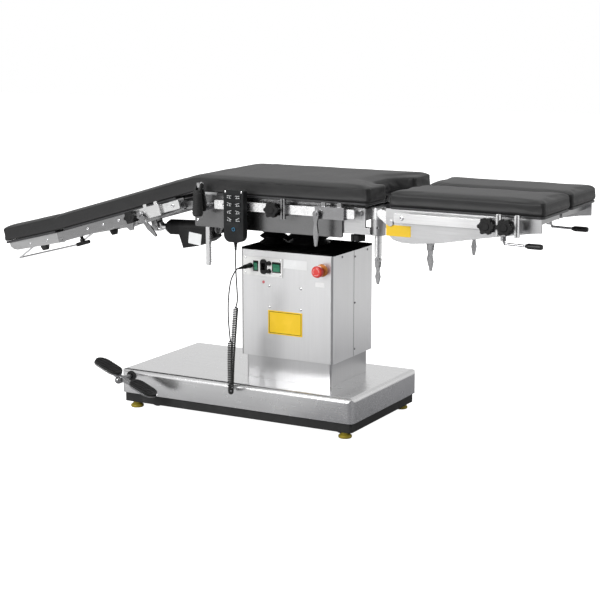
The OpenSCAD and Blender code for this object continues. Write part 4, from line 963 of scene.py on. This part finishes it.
@dataclass
class HandsetCord:
    """Curled cord from the handset's boot down to a loop and up to its plug."""

    diameter: float = 0.0046
    curls: int = 76
    curl_radius: float = 0.007
    turn_steps: int = 14
    bend: tuple[float, float] = (0.136, 0.150)
    lead: tuple[Colour, ...] = (
        (-112, -295, 617), (-112, -295, 607), (-112, -296, 560), (-108, -297, 500),
        (-105, -298, 450),
    )
    middle: tuple[Colour, ...] = (
        (-110, -299, 424), (-113, -300, 390), (-116, -300, 356), (-119, -300, 322),
        (-122, -300, 288), (-125, -300, 254), (-127, -300, 220), (-129, -300, 186),
        (-130, -300, 160), (-131, -300, 142), (-134.5, -295.2, 127.6), (-143, -283.5, 121.6),
        (-151.5, -271.8, 127.6), (-155, -267, 142), (-156, -266, 165), (-156, -266, 194),
        (-156, -266, 228), (-155, -266, 262), (-154, -266, 296),
    )
    tail: tuple[Colour, ...] = (
        (-157, -267, 330), (-160, -268, 380), (-160, -266, 440), (-152, -264, 500),
        (-141, -259, 530),
    )
    plug_end: Colour = (-139, -232, 542)

    def route(self) -> list[Vector]:
        """Works out the cord's middle line from the handset to the plug."""
        lead, middle, tail = (
            [Vector(p) * MM for p in points] for points in (self.lead, self.middle, self.tail)
        )
        end = Vector(self.plug_end) * MM
        before = end - Vector((0, 0.010, 0))
        return (
            smooth_path([*lead, middle[0]], 6)[:-1]
            + self._curled(middle)
            + smooth_path([middle[-1], *tail, before, end], 6)[1:]
        )

    def _openness(self, height: float) -> float:
        """Gives how far apart the curls lie at a height, wider in the loop at the bottom."""
        low, high = self.bend
        return 1.5 - 0.5 * clamped((height - low) / (high - low))

    def _curled(self, points: Sequence[Vector]) -> list[Vector]:
        """Winds the curls about a line, opened where it bends."""
        fine = smooth_path(points, 10)
        way = [0.0]
        for a, b in zip(fine, fine[1:]):
            way.append(way[-1] + (b - a).length / self._openness(a.z))
        steps = self.curls * self.turn_steps
        axis, k = [], 0
        for i in range(steps + 1):
            target = way[-1] * i / steps
            while k < len(fine) - 2 and way[k + 1] < target:
                k += 1
            share = (target - way[k]) / (way[k + 1] - way[k])
            axis.append(fine[k].lerp(fine[k + 1], share))
        side, path = Vector((1, 0, 0)), []
        for i, centre in enumerate(axis):
            along = (axis[min(i + 1, steps)] - axis[max(i - 1, 0)]).normalized()
            side = (side - along * side.dot(along)).normalized()
            angle = 2 * math.pi * i / self.turn_steps
            reach = self.curl_radius * min(
                1.0, i / self.turn_steps, (steps - i) / self.turn_steps
            )
            path.append(
                centre + reach * (math.cos(angle) * side + math.sin(angle) * along.cross(side))
            )
        return path

    def build(self, finishes: Finishes) -> None:
        """Args:
            finishes: the table's finishes.
        """
        path = self.route()
        data = bpy.data.curves.new("handset_cord_curled", "CURVE")
        data.dimensions = "3D"
        line = data.splines.new("POLY")
        line.points.add(len(path) - 1)
        for point, place in zip(line.points, path):
            point.co = (*place, 1.0)
        data.bevel_depth = self.diameter / 2
        data.bevel_resolution = 3
        data.materials.append(finishes["rubber"])
        cord = add("handset_cord_curled", data)
        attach(cord, "column")
        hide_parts("handset_cord")
        length = sum((b - a).length for a, b in zip(path, path[1:]))
        LOG.info("handset_cord_curled: %.2f m of cord", length)


@dataclass
class HandsetFace:
    """Key legends, screws and lamp ring on the handset's front."""

    middle: float = -0.112
    top: float = 0.819
    front: float = -0.3088
    columns: tuple[float, float] = (-0.0155, 0.0155)
    rows: int = 4
    pitch: float = 0.0255

    def _at(self, x: float, z: float, out: float = 0.0) -> Matrix:
        """Gives the place of a form on the front."""
        return facing(FRONT, Vector((self.middle + x, self.front - out, self.top + z)))

    def _mark(self, row: int, column: int) -> list[Form]:
        """Gives a generic drawing of a table section with an arrow for one key."""
        lean = math.radians((0, 14, -14, 28)[row] * (1 if column else -1))
        base = self._at(self.columns[column], -0.0225 - self.pitch * row)

        def bar(wide: float, high: float, x: float, y: float, turn: float = 0.0) -> Form:
            form = slab(wide, high, 0.0003, 0.0005, 0.0001)
            return form.moved(
                base @ Matrix.Translation((x, y, 0)) @ Matrix.Rotation(turn, 4, "Z")
            )

        arrow = loft(
            [[Vector((-0.0030, -0.0018, h)), Vector((0.0030, -0.0018, h)), Vector((0, 0.0024, h))]
             for h in (0.0, 0.0003)]
        )
        way = 1 if column else -1
        return [
            bar(0.0170, 0.0017, 0.0, 0.0034, lean),
            bar(0.0017, 0.0050, -0.0020 * way, -0.0012),
            bar(0.0085, 0.0015, -0.0020 * way, -0.0047),
            arrow.moved(base @ Matrix.Translation((0.0062 * way, -0.0028, 0))
                        @ Matrix.Rotation(0 if column else math.pi, 4, "Z")),
        ]

    def build(self, finishes: Finishes) -> None:
        """Makes the legends, the ring and the two cover screws."""
        marks = [form for row in range(self.rows) for column in (0, 1)
                 for form in self._mark(row, column)]
        piece("handset_legends", marks, finishes["legend"], "seat")
        ring = [
            circle(r, h, 36)
            for r, h in ((0.0062, 0.0), (0.0062, 0.0004), (0.0044, 0.0004), (0.0044, 0.0))
        ]
        piece(
            "handset_ring",
            [loft([*ring, ring[0]], ends=False).moved(self._at(0, -0.131, 0.0002))],
            finishes["ring_blue"], "seat",
        )
        places = [
            (self.middle + x, self.front + 0.0008, self.top - 0.006) for x in (-0.031, 0.031)
        ]
        dots = screws(places, 0.0036, 0.0012, drive=Drive.CROSS, turn=0.0)
        piece("handset_screws", dots, finishes["bright"], "seat")


# Cushions


@dataclass
class Foam:
    """A flat cushion in its own straight frame, later bent and cut to its sections."""

    name: str
    outline: list[Rim]
    low: float
    thick: float
    edge: float = 0.0060
    voxel: float = 0.0065
    cap: float = 0.0045
    shrink: float = 0.0022
    last_frame: int = 20

    def _levels(self) -> list[tuple[float, float]]:
        """Gives (inset, height) from the board to the crown."""
        t = self.thick
        r = self.edge
        edge = [
            (r * (1 - math.cos(a)), t - r + r * math.sin(a))
            for a in (math.radians(15 * i) for i in range(7))
        ]
        return [(0.0035, 0.0), (0.0005, 0.005), (0.0012, 0.45 * t), *edge,
                (0.030, t + 0.0016), (0.055, t + 0.0022)]

    def _blank(self) -> bpy.types.Mesh:
        """Makes the cushion's plain closed mesh."""
        rings = [
            [Vector((x + nx * (inset + self.shrink), y + ny * (inset + self.shrink),
                     self.low + height)) for x, y, nx, ny in self.outline]
            for inset, height in self._levels()
        ]
        mesh = joined(self.name, [loft(rings)])
        work = bmesh.new()
        work.from_mesh(mesh)
        bmesh.ops.triangulate(work, faces=[f for f in work.faces if len(f.verts) > 4])
        work.to_mesh(mesh)
        work.free()
        return mesh

    def inflated(self) -> bpy.types.Mesh:
        """Remeshes the blank, blows it up as cloth and evens it out.

        Returns:
            The filled cushion, still straight.
        """
        bare = add(self.name, self._blank())
        remesh = bare.modifiers.new("even", "REMESH")
        remesh.mode = "VOXEL"
        remesh.voxel_size = self.voxel
        mesh = baked(bare)
        mesh = self._blown(mesh)
        soft = add(self.name + "_soft", mesh)
        ease = soft.modifiers.new("ease", "SMOOTH")
        ease.iterations = 2
        ease.factor = 0.5
        finer = soft.modifiers.new("finer", "SUBSURF")
        finer.levels = 1
        finer.render_levels = 1
        return baked(soft)

    def _blown(self, mesh: bpy.types.Mesh) -> bpy.types.Mesh:
        """Runs the cloth and caps how far a point moves."""
        cloth = add(self.name + "_cloth", mesh)
        start = [v.co.copy() for v in mesh.vertices]
        held = cloth.vertex_groups.new(name="held")
        held.add([v.index for v in mesh.vertices if v.co.z < self.low + 0.004], 1.0, "REPLACE")
        fabric = cloth.modifiers.new("fabric", "CLOTH")
        fabric.settings.use_pressure = True
        fabric.settings.uniform_pressure_force = 4.0
        fabric.settings.vertex_group_mass = "held"
        fabric.settings.quality = 4
        fabric.settings.effector_weights.gravity = 0.0
        fabric.settings.tension_stiffness = 30
        fabric.settings.compression_stiffness = 30
        fabric.settings.bending_stiffness = 2.0
        fabric.collision_settings.use_self_collision = False
        scene = bpy.context.scene
        for number in range(1, self.last_frame + 1):
            scene.frame_set(number)
        blown = baked(cloth)
        for vertex, home in zip(blown.vertices, start):
            step = vertex.co - home
            if step.length > self.cap:
                vertex.co = home + step * (self.cap / step.length)
        scene.frame_set(1)
        return blown


def baked(source: bpy.types.Object) -> bpy.types.Mesh:
    """Gives an object's mesh with its modifiers applied, and removes the object."""
    graph = bpy.context.evaluated_depsgraph_get()
    graph.update()
    mesh = bpy.data.meshes.new_from_object(source.evaluated_get(graph))
    bpy.data.objects.remove(source)
    return mesh


def cut_mesh(
    mesh: bpy.types.Mesh, planes: Sequence[tuple[float, int]], name: str
) -> bpy.types.Mesh:
    """Copies a straight cushion and keeps what lies between planes across its length.

    Args:
        mesh: the whole cushion.
        planes: (place along X, +1 to keep what lies beyond, or -1 to keep what lies before).
        name: the new mesh's name.

    Returns:
        The closed section.
    """
    work = bmesh.new()
    work.from_mesh(mesh)
    for x, side in planes:
        parts = [*work.verts, *work.edges, *work.faces]
        cut = bmesh.ops.bisect_plane(
            work, geom=parts, plane_co=(x, 0, 0), plane_no=(side, 0, 0), clear_inner=True
        )
        edges = [e for e in cut["geom_cut"] if isinstance(e, bmesh.types.BMEdge)]
        bmesh.ops.holes_fill(work, edges=edges, sides=0)
    made = bpy.data.meshes.new(name)
    work.to_mesh(made)
    work.free()
    return made


def map_seams(mesh: bpy.types.Mesh, head: float, foot: float, top: float) -> None:
    """Gives a straight cushion a map of the way from its ends and below its crown."""
    layer = mesh.uv_layers.new(name="seams")
    for loop in mesh.loops:
        x, _, z = mesh.vertices[loop.vertex_index].co
        layer.data[loop.index].uv = (min(x - head, foot - x), top - z)


def corner(
    x: float, y: float, sx: int, sy: int, radius: float
) -> list[Rim]:
    """Gives a rounded corner's points, counterclockwise, each with the way it shrinks."""
    start = {(1, 1): 0, (-1, 1): 90, (-1, -1): 180, (1, -1): 270}[(sx, sy)]
    points = []
    for k in range(7):
        a = math.radians(start + 15 * k)
        points.append(
            (x - sx * radius + radius * math.cos(a), y - sy * radius + radius * math.sin(a),
             -sx, -sy)
        )
    return points


@dataclass
class TableCushion:
    """The one long cushion over the seat, the lumbar hinge, the back and the head."""

    foot: float = 0.659
    head: float = -0.874
    corner_radius: float = 0.014
    cut_depth: float = 0.073
    cut_mouth: float = 0.103
    cut_floor: float = 0.038
    bridge: tuple[float, float] = (0.013, 0.079)
    lumbar_end: float = -0.080
    neck: tuple[float, float] = (-0.626, -0.585)

    def _mouth(self) -> list[Rim]:
        """Gives the near half of the cut-out at the foot end, from the end inwards."""
        r = self.corner_radius
        deep, wide = self.cut_depth - r, self.cut_mouth - self.cut_floor
        points = [
            (self.foot - r + r * math.cos(a), -self.cut_mouth - r + r * math.sin(a), -1, -1)
            for a in (math.radians(15 * k) for k in range(7))
        ]
        for k in range(1, 13):
            a = math.radians(7.5 * k)
            way = Vector((math.sin(a) / deep, math.cos(a) / wide)).normalized()
            points.append(
                (self.foot - r - deep * math.sin(a), -self.cut_floor - wide * math.cos(a),
                 -way.x, -way.y)
            )
        return points

    def foot_end(self) -> list[Rim]:
        """Gives the outline's foot end, from the near corner to the far one."""
        w, r = PAD_HALF_WIDTH, self.corner_radius
        near = self._mouth()
        far = [(x, -y, nx, -ny) for x, y, nx, ny in reversed(near)]
        return [*corner(self.foot, -w, 1, -1, r), *near, *far,
                *corner(self.foot, w, 1, 1, r)]

    def outline(self) -> list[Rim]:
        """Gives the cushion's outline with the way each point shrinks."""
        w, r = PAD_HALF_WIDTH, self.corner_radius
        return [*corner(self.head, -w, -1, -1, r), *self.foot_end(),
                *corner(self.head, w, -1, 1, r)]

    @staticmethod
    def _worked(point: Vector) -> Vector:
        """Adds the seam line, the neck crease and the fabric's soft waves."""
        x, y, z = point
        top = PAD_LOW + PAD_THICK
        upper = clamped((z - PAD_LOW - 0.02) / 0.02)
        z -= upper * 0.0052 * bell(x, -0.612, 0.011)
        z -= upper * 0.0012 * bell(x, 0.005, 0.030)
        near_hinge = bell(x, -0.02, 0.11)
        wave = noise.noise(Vector((x * 9, y * 5, 0.3)))
        pull = noise.noise(Vector((x * 42 + y * 9, y * 6, 2.1)))
        z += upper * (0.0011 * wave + 0.0012 * near_hinge * pull)
        seam = bell(z, top - SEAM_DEPTH, SEAM_WIDTH)
        if abs(y) > PAD_HALF_WIDTH - SIDE_DEPTH:
            bulge = 0.0008 * noise.noise(Vector((x * 14, z * 30, 4.0)))
            y += math.copysign(bulge - SEAM_PULL * seam, y)
        return Vector((x, y, z))

    @staticmethod
    def bent(point: Vector) -> Vector:
        """Carries a point of the straight cushion to its place on the bent table."""
        x, y, z = point
        if x < NECK + 0.004:
            turn = HEAD_TURN * eased((NECK + 0.004 - x) / 0.012)
            dx, dz = x - NECK, z - NECK_RISE
            c, s = math.cos(turn), math.sin(turn)
            return on_back(NECK + dx * c + dz * s, y, NECK_RISE - dx * s + dz * c)
        slope = BACK_SLOPE * eased((0.020 - x) / 0.040)
        c, s = math.cos(slope), math.sin(slope)
        return BACK_HINGE + Vector((x * c - z * s, y, x * s + z * c))

    def build(self, finishes: Finishes) -> None:
        """Makes the cushion's sections, the seat, bridge, back and head sections each on its own
        body.
        """
        whole = Foam("table_foam", self.outline(), PAD_LOW, PAD_THICK).inflated()
        for vertex in whole.vertices:
            vertex.co = self._worked(vertex.co)
        low, high = self.bridge
        sections = (
            ("seat_cushion", ((high, 1),), "seat", "seat_pad"),
            ("bridge_cushion", ((low, 1), (high, -1)), "bridge", "pad_bends"),
            ("lumbar_cushion", ((self.lumbar_end, 1), (low, -1)), None, "pad_bends"),
            ("back_cushion", ((self.neck[1], 1), (self.lumbar_end, -1)), "back", "back_pad"),
            ("neck_cushion", ((self.neck[0], 1), (self.neck[1], -1)), None, "pad_bends"),
            ("head_cushion", ((self.neck[0], -1),), "head", "head_pad"),
        )
        for name, planes, body, node in sections:
            mesh = cut_mesh(whole, planes, name)
            map_seams(mesh, self.head, self.foot, PAD_LOW + PAD_THICK)
            for vertex in mesh.vertices:
                vertex.co = self.bent(vertex.co)
            made = finish_piece(name, mesh, finishes["vinyl"], body, 50.0, node)
            if name == "lumbar_cushion":
                self._blend_at(low)
                self._blend_at(self.lumbar_end)
                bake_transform(made)
            if name == "neck_cushion":
                self._blend_at(self.neck[1])
                self._blend_at(self.neck[0])
                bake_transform(made)
        bpy.data.meshes.remove(whole)

    def _blend_at(self, x: float) -> tuple[float, float, float]:
        """Gives the place of a station of the straight cushion on the bent table."""
        return tuple(self.bent(Vector((x, 0, PAD_LOW + 0.02))))


@dataclass
class LegCushion:
    """Cushion of one leg section, with the inner head-end corner cut round."""

    head: float = 0.422
    foot: float = 0.958
    inner: float = -0.003
    low: float = 0.793
    thick: float = 0.044
    cut: tuple[float, float] = (0.078, 0.085)

    def outline(self) -> list[Rim]:
        """Gives the near cushion's outline with the way each point shrinks."""
        w, r = PAD_HALF_WIDTH, 0.014
        ax, ay = self.cut
        points = [*corner(self.head, -w, -1, -1, r), *corner(self.foot, -w, 1, -1, r),
                  *corner(self.foot, self.inner, 1, 1, r)]
        for k in range(13):
            a = math.radians(90 + 7.5 * k)
            way = Vector((math.cos(a) / ax, math.sin(a) / ay)).normalized()
            points.append(
                (self.head + ax + ax * math.cos(a), self.inner - ay + ay * math.sin(a),
                 -way.x, -way.y)
            )
        return points

    def _worked(self, point: Vector) -> Vector:
        """Adds the seam line and the fabric's soft waves."""
        x, y, z = point
        upper = clamped((z - self.low - 0.02) / 0.02)
        z += upper * 0.0010 * noise.noise(Vector((x * 9, y * 7, 6.3)))
        seam = bell(z, self.low + self.thick - SEAM_DEPTH, SEAM_WIDTH)
        if y < -PAD_HALF_WIDTH + SIDE_DEPTH:
            y += SEAM_PULL * seam + 0.0007 * noise.noise(Vector((x * 14, z * 30, 8.0)))
        if x > self.foot - SIDE_DEPTH:
            x -= SEAM_PULL * seam
        return Vector((x, y, z))

    def build(self, finishes: Finishes) -> None:
        """Makes the near cushion and its mirror image."""
        near = Foam("leg_foam", self.outline(), self.low, self.thick).inflated()
        for vertex in near.vertices:
            vertex.co = self._worked(vertex.co)
        map_seams(near, self.head, self.foot, self.low + self.thick)
        far = near.copy()
        for vertex in far.vertices:
            vertex.co.y = -vertex.co.y
        far.flip_normals()
        for side, mesh in (("near", near), ("far", far)):
            made = finish_piece(
                f"leg_cushion_{side}", mesh, finishes["vinyl"], f"leg_{side}", 50.0,
                f"leg_pad_{side}",
            )


@dataclass
class PadBoards:
    """Black moulded boards under the cushions, with a rounded rim."""

    inset: float = 0.007
    thick: float = 0.0086

    def _board(
        self, outline: Sequence[Rim], low: float
    ) -> Form:
        """Gives a board under an outline."""
        c = 0.0016
        levels = ((self.inset + c, 0.0), (self.inset, c), (self.inset, self.thick - c),
                  (self.inset + c, self.thick))
        return loft(
            [[Vector((x + nx * i, y + ny * i, low + h)) for x, y, nx, ny in outline]
             for i, h in levels]
        )

    def build(self, finishes: Finishes) -> None:
        """Makes the seat's, back's, head's and legs' boards."""
        long = TableCushion()
        w, r = PAD_HALF_WIDTH, long.corner_radius
        low = PAD_LOW - BOARD_DROP

        def butt(x: float, y: float, sy: int) -> Rim:
            return (x, y, 0, -sy)

        seat_end, lumbar = long.bridge[1], long.lumbar_end
        head_end, back_end = long.neck
        seat = [butt(seat_end, -w, -1), *long.foot_end(), butt(seat_end, w, 1)]
        back = [butt(back_end, -w, -1), butt(lumbar, -w, -1), butt(lumbar, w, 1),
                butt(back_end, w, 1)]
        head = [*corner(long.head, -w, -1, -1, r), butt(head_end, -w, -1),
                butt(head_end, w, 1), *corner(long.head, w, -1, 1, r)]
        for name, outline, body, node in (
            ("seat_board", seat, "seat", "seat_pad"),
            ("back_board", back, "back", "back_pad"),
            ("head_board", head, "head", "head_pad"),
        ):
            form = self._board(outline, low).mapped(TableCushion.bent)
            piece(name, [form], finishes["board"], body, node=node)
        leg = LegCushion()
        near = self._board(leg.outline(), leg.low - BOARD_DROP)
        for side, form in (("near", near), ("far", near.far_side())):
            piece(f"leg_board_{side}", [form], finishes["board"], f"leg_{side}",
                  node=f"leg_pad_{side}")


# Column


@dataclass
class PleatedCover:
    """Bellows between the column's cap and the tilting seat."""

    name: str
    centre: tuple[float, float]
    radius: float
    low: float = 0.602
    high: float = 0.712
    folds: int = 5
    depth: float = 0.016

    def _form(self, first: float, last: float) -> Form:
        """Gives the pleats between two heights, as shares of the whole."""
        steps = 12
        levels = []
        count = round((last - first) * self.folds)
        for i in range(count * steps + 1):
            share = first + (last - first) * i / (count * steps)
            phase = (share * self.folds) % 1.0
            peak = 1.0 - abs(2.0 * phase - 1.0)
            reach = 0.85 * peak + 0.15 * (0.5 - 0.5 * math.cos(math.pi * peak))
            levels.append((self.radius - self.depth * (1 - reach),
                           self.low + share * (self.high - self.low)))
        wall = [(r - 0.0022, z) for r, z in reversed(levels)]
        skin = loft([circle(r, z, 48) for r, z in (*levels, *wall, levels[0])], ends=False)
        return skin.moved(Matrix.Translation((*self.centre, 0.0)))

    def build(self, finishes: Finishes) -> None:
        """Makes the lower and upper halves."""
        middle = self.low + 0.4 * (self.high - self.low)
        for part, share, bodies, heights in (
            ("lower", (0.0, 0.4), ("column", "cradle"), (self.low + 0.004, middle)),
            ("upper", (0.4, 1.0), ("cradle", "seat"), (middle, self.high - 0.004)),
        ):
            made = piece(
                f"{self.name}_{part}", [self._form(*share)], finishes["pleats"], None,
                60.0, "tilt_bellows",
            )
            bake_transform(made)


@dataclass
class ColumnFront:
    """Screws, bare labels and the yellow plate on the column's covers."""

    front: float = COLUMN_FRONT
    side: float = 0.181
    seam_middle: float = 0.4105
    seam_length: float = 0.369
    cover_screws: tuple[tuple[float, float], ...] = (
        (-0.067, 0.475), (0.056, 0.475), (-0.067, 0.401), (0.056, 0.402),
    )
    panel_screws: tuple[tuple[float, float], ...] = (
        (-0.160, 0.5665), (-0.160, 0.5145), (-0.022, 0.5665), (-0.022, 0.5145),
    )
    side_screws: tuple[tuple[float, float], ...] = (
        (0.010, 0.574), (0.010, 0.413), (0.010, 0.250), (-0.085, 0.586), (0.104, 0.586),
    )

    def _plate(
        self, name: str, x: tuple[float, float], z: tuple[float, float], out: float,
        material: bpy.types.Material,
    ) -> None:
        """Sticks one bare plate on the front cover."""
        form = slab(x[1] - x[0], z[1] - z[0], out, 0.0012, out / 4)
        at = facing(FRONT, Vector(((x[0] + x[1]) / 2, self.front, (z[0] + z[1]) / 2)))
        piece(name, [form.moved(at)], material, "column")

    def build(self, finishes: Finishes) -> None:
        """Makes everything on the column's front and side."""
        self._plate("label_switches", (-0.011, 0.080), (0.541, 0.572), 0.0005,
                    finishes["paper"])
        self._plate("label_stop", (0.112, 0.148), (0.488, 0.504), 0.0005,
                    finishes["paper"])
        self._plate("plate_yellow", (-0.072, 0.062), (0.308, 0.391), 0.0008,
                    finishes["yellow"])
        border = hoop(0.126, 0.075, 0.0016, 0.0003, 0.003)
        at = facing(FRONT, Vector((-0.005, self.front - 0.0008, 0.3495)))
        piece("plate_border", [border.moved(at)], finishes["plastic"], "column")
        mark = turned(((0.0001, 0.0), (0.0052, 0.0), (0.0052, 0.0006), (0.0040, 0.0010),
                       (0.0001, 0.0010)), 24)
        piece("earth_mark", [mark.moved(facing(FRONT, Vector((-0.090, self.front, 0.487))))],
              finishes["pink"], "column")
        cover = [(x, self.front, z) for x, z in self.cover_screws]
        panel = [(x, self.front - 0.002, z) for x, z in self.panel_screws]
        heads = screws(cover, 0.0042, 0.0020, FRONT, Drive.CROSS, 0.3)
        heads += screws(panel, 0.0030, 0.0014, FRONT, Drive.CROSS, 0.4)
        piece("column_front_screws", heads, finishes["bright"], "column")
        sides = []
        for s in (-1, 1):
            places = [(s * self.side, y, z) for y, z in self.side_screws]
            sides += screws(places, 0.0036, 0.0018, Vector((s, 0, 0)), Drive.CROSS, 0.5)
        piece("column_side_screws", sides, finishes["machined"], "column")
        # Dark strips on the seams between the cover shells: the seams are real, and their
        # darkness is painted shade of the gaps.
        seams = []
        for s in (-1, 1):
            seam = slab(0.0013, self.seam_length, 0.0003, 0.0006, 0.0001)
            at = Vector((s * self.side, 0.003, self.seam_middle))
            seams.append(seam.moved(facing(Vector((s, 0, 0)), at)))
            edge = slab(0.0010, self.seam_length, 0.0003, 0.0005, 0.0001)
            at = Vector((s * 0.1725, self.front, self.seam_middle))
            seams.append(edge.moved(facing(FRONT, at)))
        piece("column_seam_shade", seams, finishes["plastic"], "column")
        arrows = []
        for k in range(3):
            start = 2 * math.pi * k / 3
            path = [
                Vector((0.0115 * math.cos(start + t), 0.0115 * math.sin(start + t), 0.0))
                for t in (1.5 * i / 10 for i in range(11))
            ]
            arrows.append(tube(path, 0.0006, 6))
        at = facing(FRONT, Vector((0.138, self.front - 0.0438, 0.546)))
        piece("stop_arrows", [a.moved(at) for a in arrows], finishes["paper"], "stop")


# Frames and rails


@dataclass
class Fasteners:
    """Socket screws on the rails, plates, hinges and clamps."""

    rail: float = 0.272
    plate: float = 0.240
    rail_height: float = 0.762

    def build(self, finishes: Finishes) -> None:
        """Makes the screws of the seat, back, head and leg sections."""
        near, high = -self.rail, self.rail_height
        rail = [(x, near, high) for x in (-0.170, 0.020, 0.225)]
        side = [(-0.296, -self.plate, 0.700), (-0.150, -self.plate, 0.702)]
        forms = screws(rail[:2], 0.0075, 0.0022)
        forms += screws(mirrored(rail), 0.0075, 0.0022, BACK)
        forms += screws(side, 0.0050, 0.0024) + screws(mirrored(side), 0.0050, 0.0024, BACK)
        piece("seat_screws", forms, finishes["bright"], "seat")
        back = [on_back(-0.080, near, 0.017)]
        bars = [on_back(u, -self.plate, 0.020) for u in (-0.340, -0.410, -0.480)]
        forms = screws(back, 0.0070, 0.0020) + screws(bars, 0.0050, 0.0022)
        forms += screws(mirrored([*back, *bars]), 0.0050, 0.0022, BACK)
        piece("back_screws", forms, finishes["bright"], "back")
        for name, s, normal in (("near", -1, FRONT), ("far", 1, BACK)):
            forms = screws([(0.488, s * self.rail, 0.761)], 0.0075, 0.0022, normal)
            piece(f"leg_screws_{name}", forms, finishes["bright"], f"leg_{name}")
        heads = [on_head(u, -0.2317, 0.008) for u in (-0.070, -0.150)]
        forms = screws(heads, 0.0045, 0.0020) + screws(mirrored(heads), 0.0045, 0.0020, BACK)
        piece("head_screws", forms, finishes["bright"], "head")


@dataclass
class BarePlates:
    """Bare plates on the leg section and the actuator, and the head's rubber stop."""

    def build(self, finishes: Finishes) -> None:
        """Makes the plates and the rubber stop."""
        leg = slab(0.087, 0.036, 0.0007, 0.0020, 0.0002)
        at = facing(FRONT, Vector((0.4600, -0.2350, 0.7145)))
        piece("leg_plate_yellow", [leg.moved(at)], finishes["yellow"], "leg_near")
        tag = slab(0.052, 0.040, 0.0006, 0.0020, 0.0002)
        at = facing(FRONT, Vector((-0.3490, -0.1780, 0.6215)), -0.12)
        piece("actuator_label", [tag.moved(at)], finishes["paper"], "actuator")
        bumper = turned(((0.0001, 0.0), (0.016, 0.0), (0.017, 0.002), (0.0155, 0.010),
                         (0.0120, 0.019), (0.0100, 0.021), (0.0001, 0.021)), 28)
        forms = []
        for y in (-0.215, 0.215):
            down = on_head(0, 0, -1) - on_head(0, 0, 0)
            forms.append(bumper.moved(facing(down, on_head(-0.098, y, -0.006))))
        piece("head_bumpers", forms, finishes["rubber"], "head")


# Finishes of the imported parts


def dress_frame(finishes: Finishes) -> None:
    """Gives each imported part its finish."""
    table = {
        finishes["steel_base"]: ("base_cover",),
        finishes["steel_upright"]: (
            "upper_cover_front", "upper_cover_rear", "inner_mast",
        ),
        finishes["steel_lower"]: ("lower_column_cover",),
        finishes["steel_seat"]: ("seat_frame",),
        finishes["steel_back"]: ("back_frame",),
        finishes["steel_leg"]: (
            "head_frame", "leg_frame_near", "leg_frame_far", "leg_sockets",
        ),
        finishes["steel_cross"]: ("kidney_bridge",),
        finishes["bright"]: ("head_bail", "actuator_rod", "bridge_crank"),
        finishes["bright_rail"]: ("seat_rails", "leg_post_near", "leg_post_far"),
        finishes["sleeved"]: ("leg_release_near", "leg_release_far"),
        finishes["cast"]: (
            "rail_clamps", "clamp_lever", "back_clamp_lever", "post_lever_near",
            "post_lever_far", "leg_lever_near", "leg_lever_far", "brake_pedal",
        ),
        finishes["machined"]: ("tilt_cradle", "outer_mast"),
        finishes["dark_paint"]: ("base_frame", "casters"),
        finishes["rubber"]: ("base_skirt", "pedal_treads", "crank_grip", "handset_cord",
                          "tilt_bellows"),
        finishes["plastic"]: (
            "clamp_knob", "frame_knob", "back_clamp_knob", "back_stop_knob", "leg_knob_inner",
            "leg_knob_outer", "cord_plug", "power_inlet", "actuator_body",
        ),
        finishes["cap_gloss"]: ("column_cap",),
        finishes["handset"]: ("handset",),
        finishes["panel"]: ("control_panel",),
        finishes["green"]: ("switch_left", "switch_right"),
        finishes["red"]: ("stop_button",),
        finishes["amber"]: ("stop_collar",),
        finishes["olive"]: ("levelling_feet",),
        finishes["vinyl"]: ("seat_pad", "back_pad", "head_pad", "pad_bends", "leg_pad_near",
                         "leg_pad_far"),
    }
    left = set(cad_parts)
    for material, names in table.items():
        for name in names:
            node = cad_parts[name]
            if not node.data.materials:
                node.data.materials.append(material)
            for holder in node.material_slots:
                holder.material = material
            left.discard(name)
            LOG.info("%s dressed with %s", name, material.name)
    if left:
        LOG.warning("parts without a finish: %s", ", ".join(sorted(left)))


def main() -> None:
    """Builds the scene in order."""
    logging.basicConfig(level=logging.INFO, format="%(message)s")
    Studio().build()
    finishes = {recipe.name: recipe.material() for recipe in RECIPES}
    HandsetCord().build(finishes)
    dress_frame(finishes)
    HandsetFace().build(finishes)
    TableCushion().build(finishes)
    LegCushion().build(finishes)
    PadBoards().build(finishes)
    PleatedCover("main_bellows", (0.008, 0.0), 0.0733).build(finishes)
    PleatedCover("drive_bellows", (-0.1018, -0.0564), 0.050).build(finishes)
    ColumnFront().build(finishes)
    Fasteners().build(finishes)
    BarePlates().build(finishes)


if __name__ == "__main__":
    main()
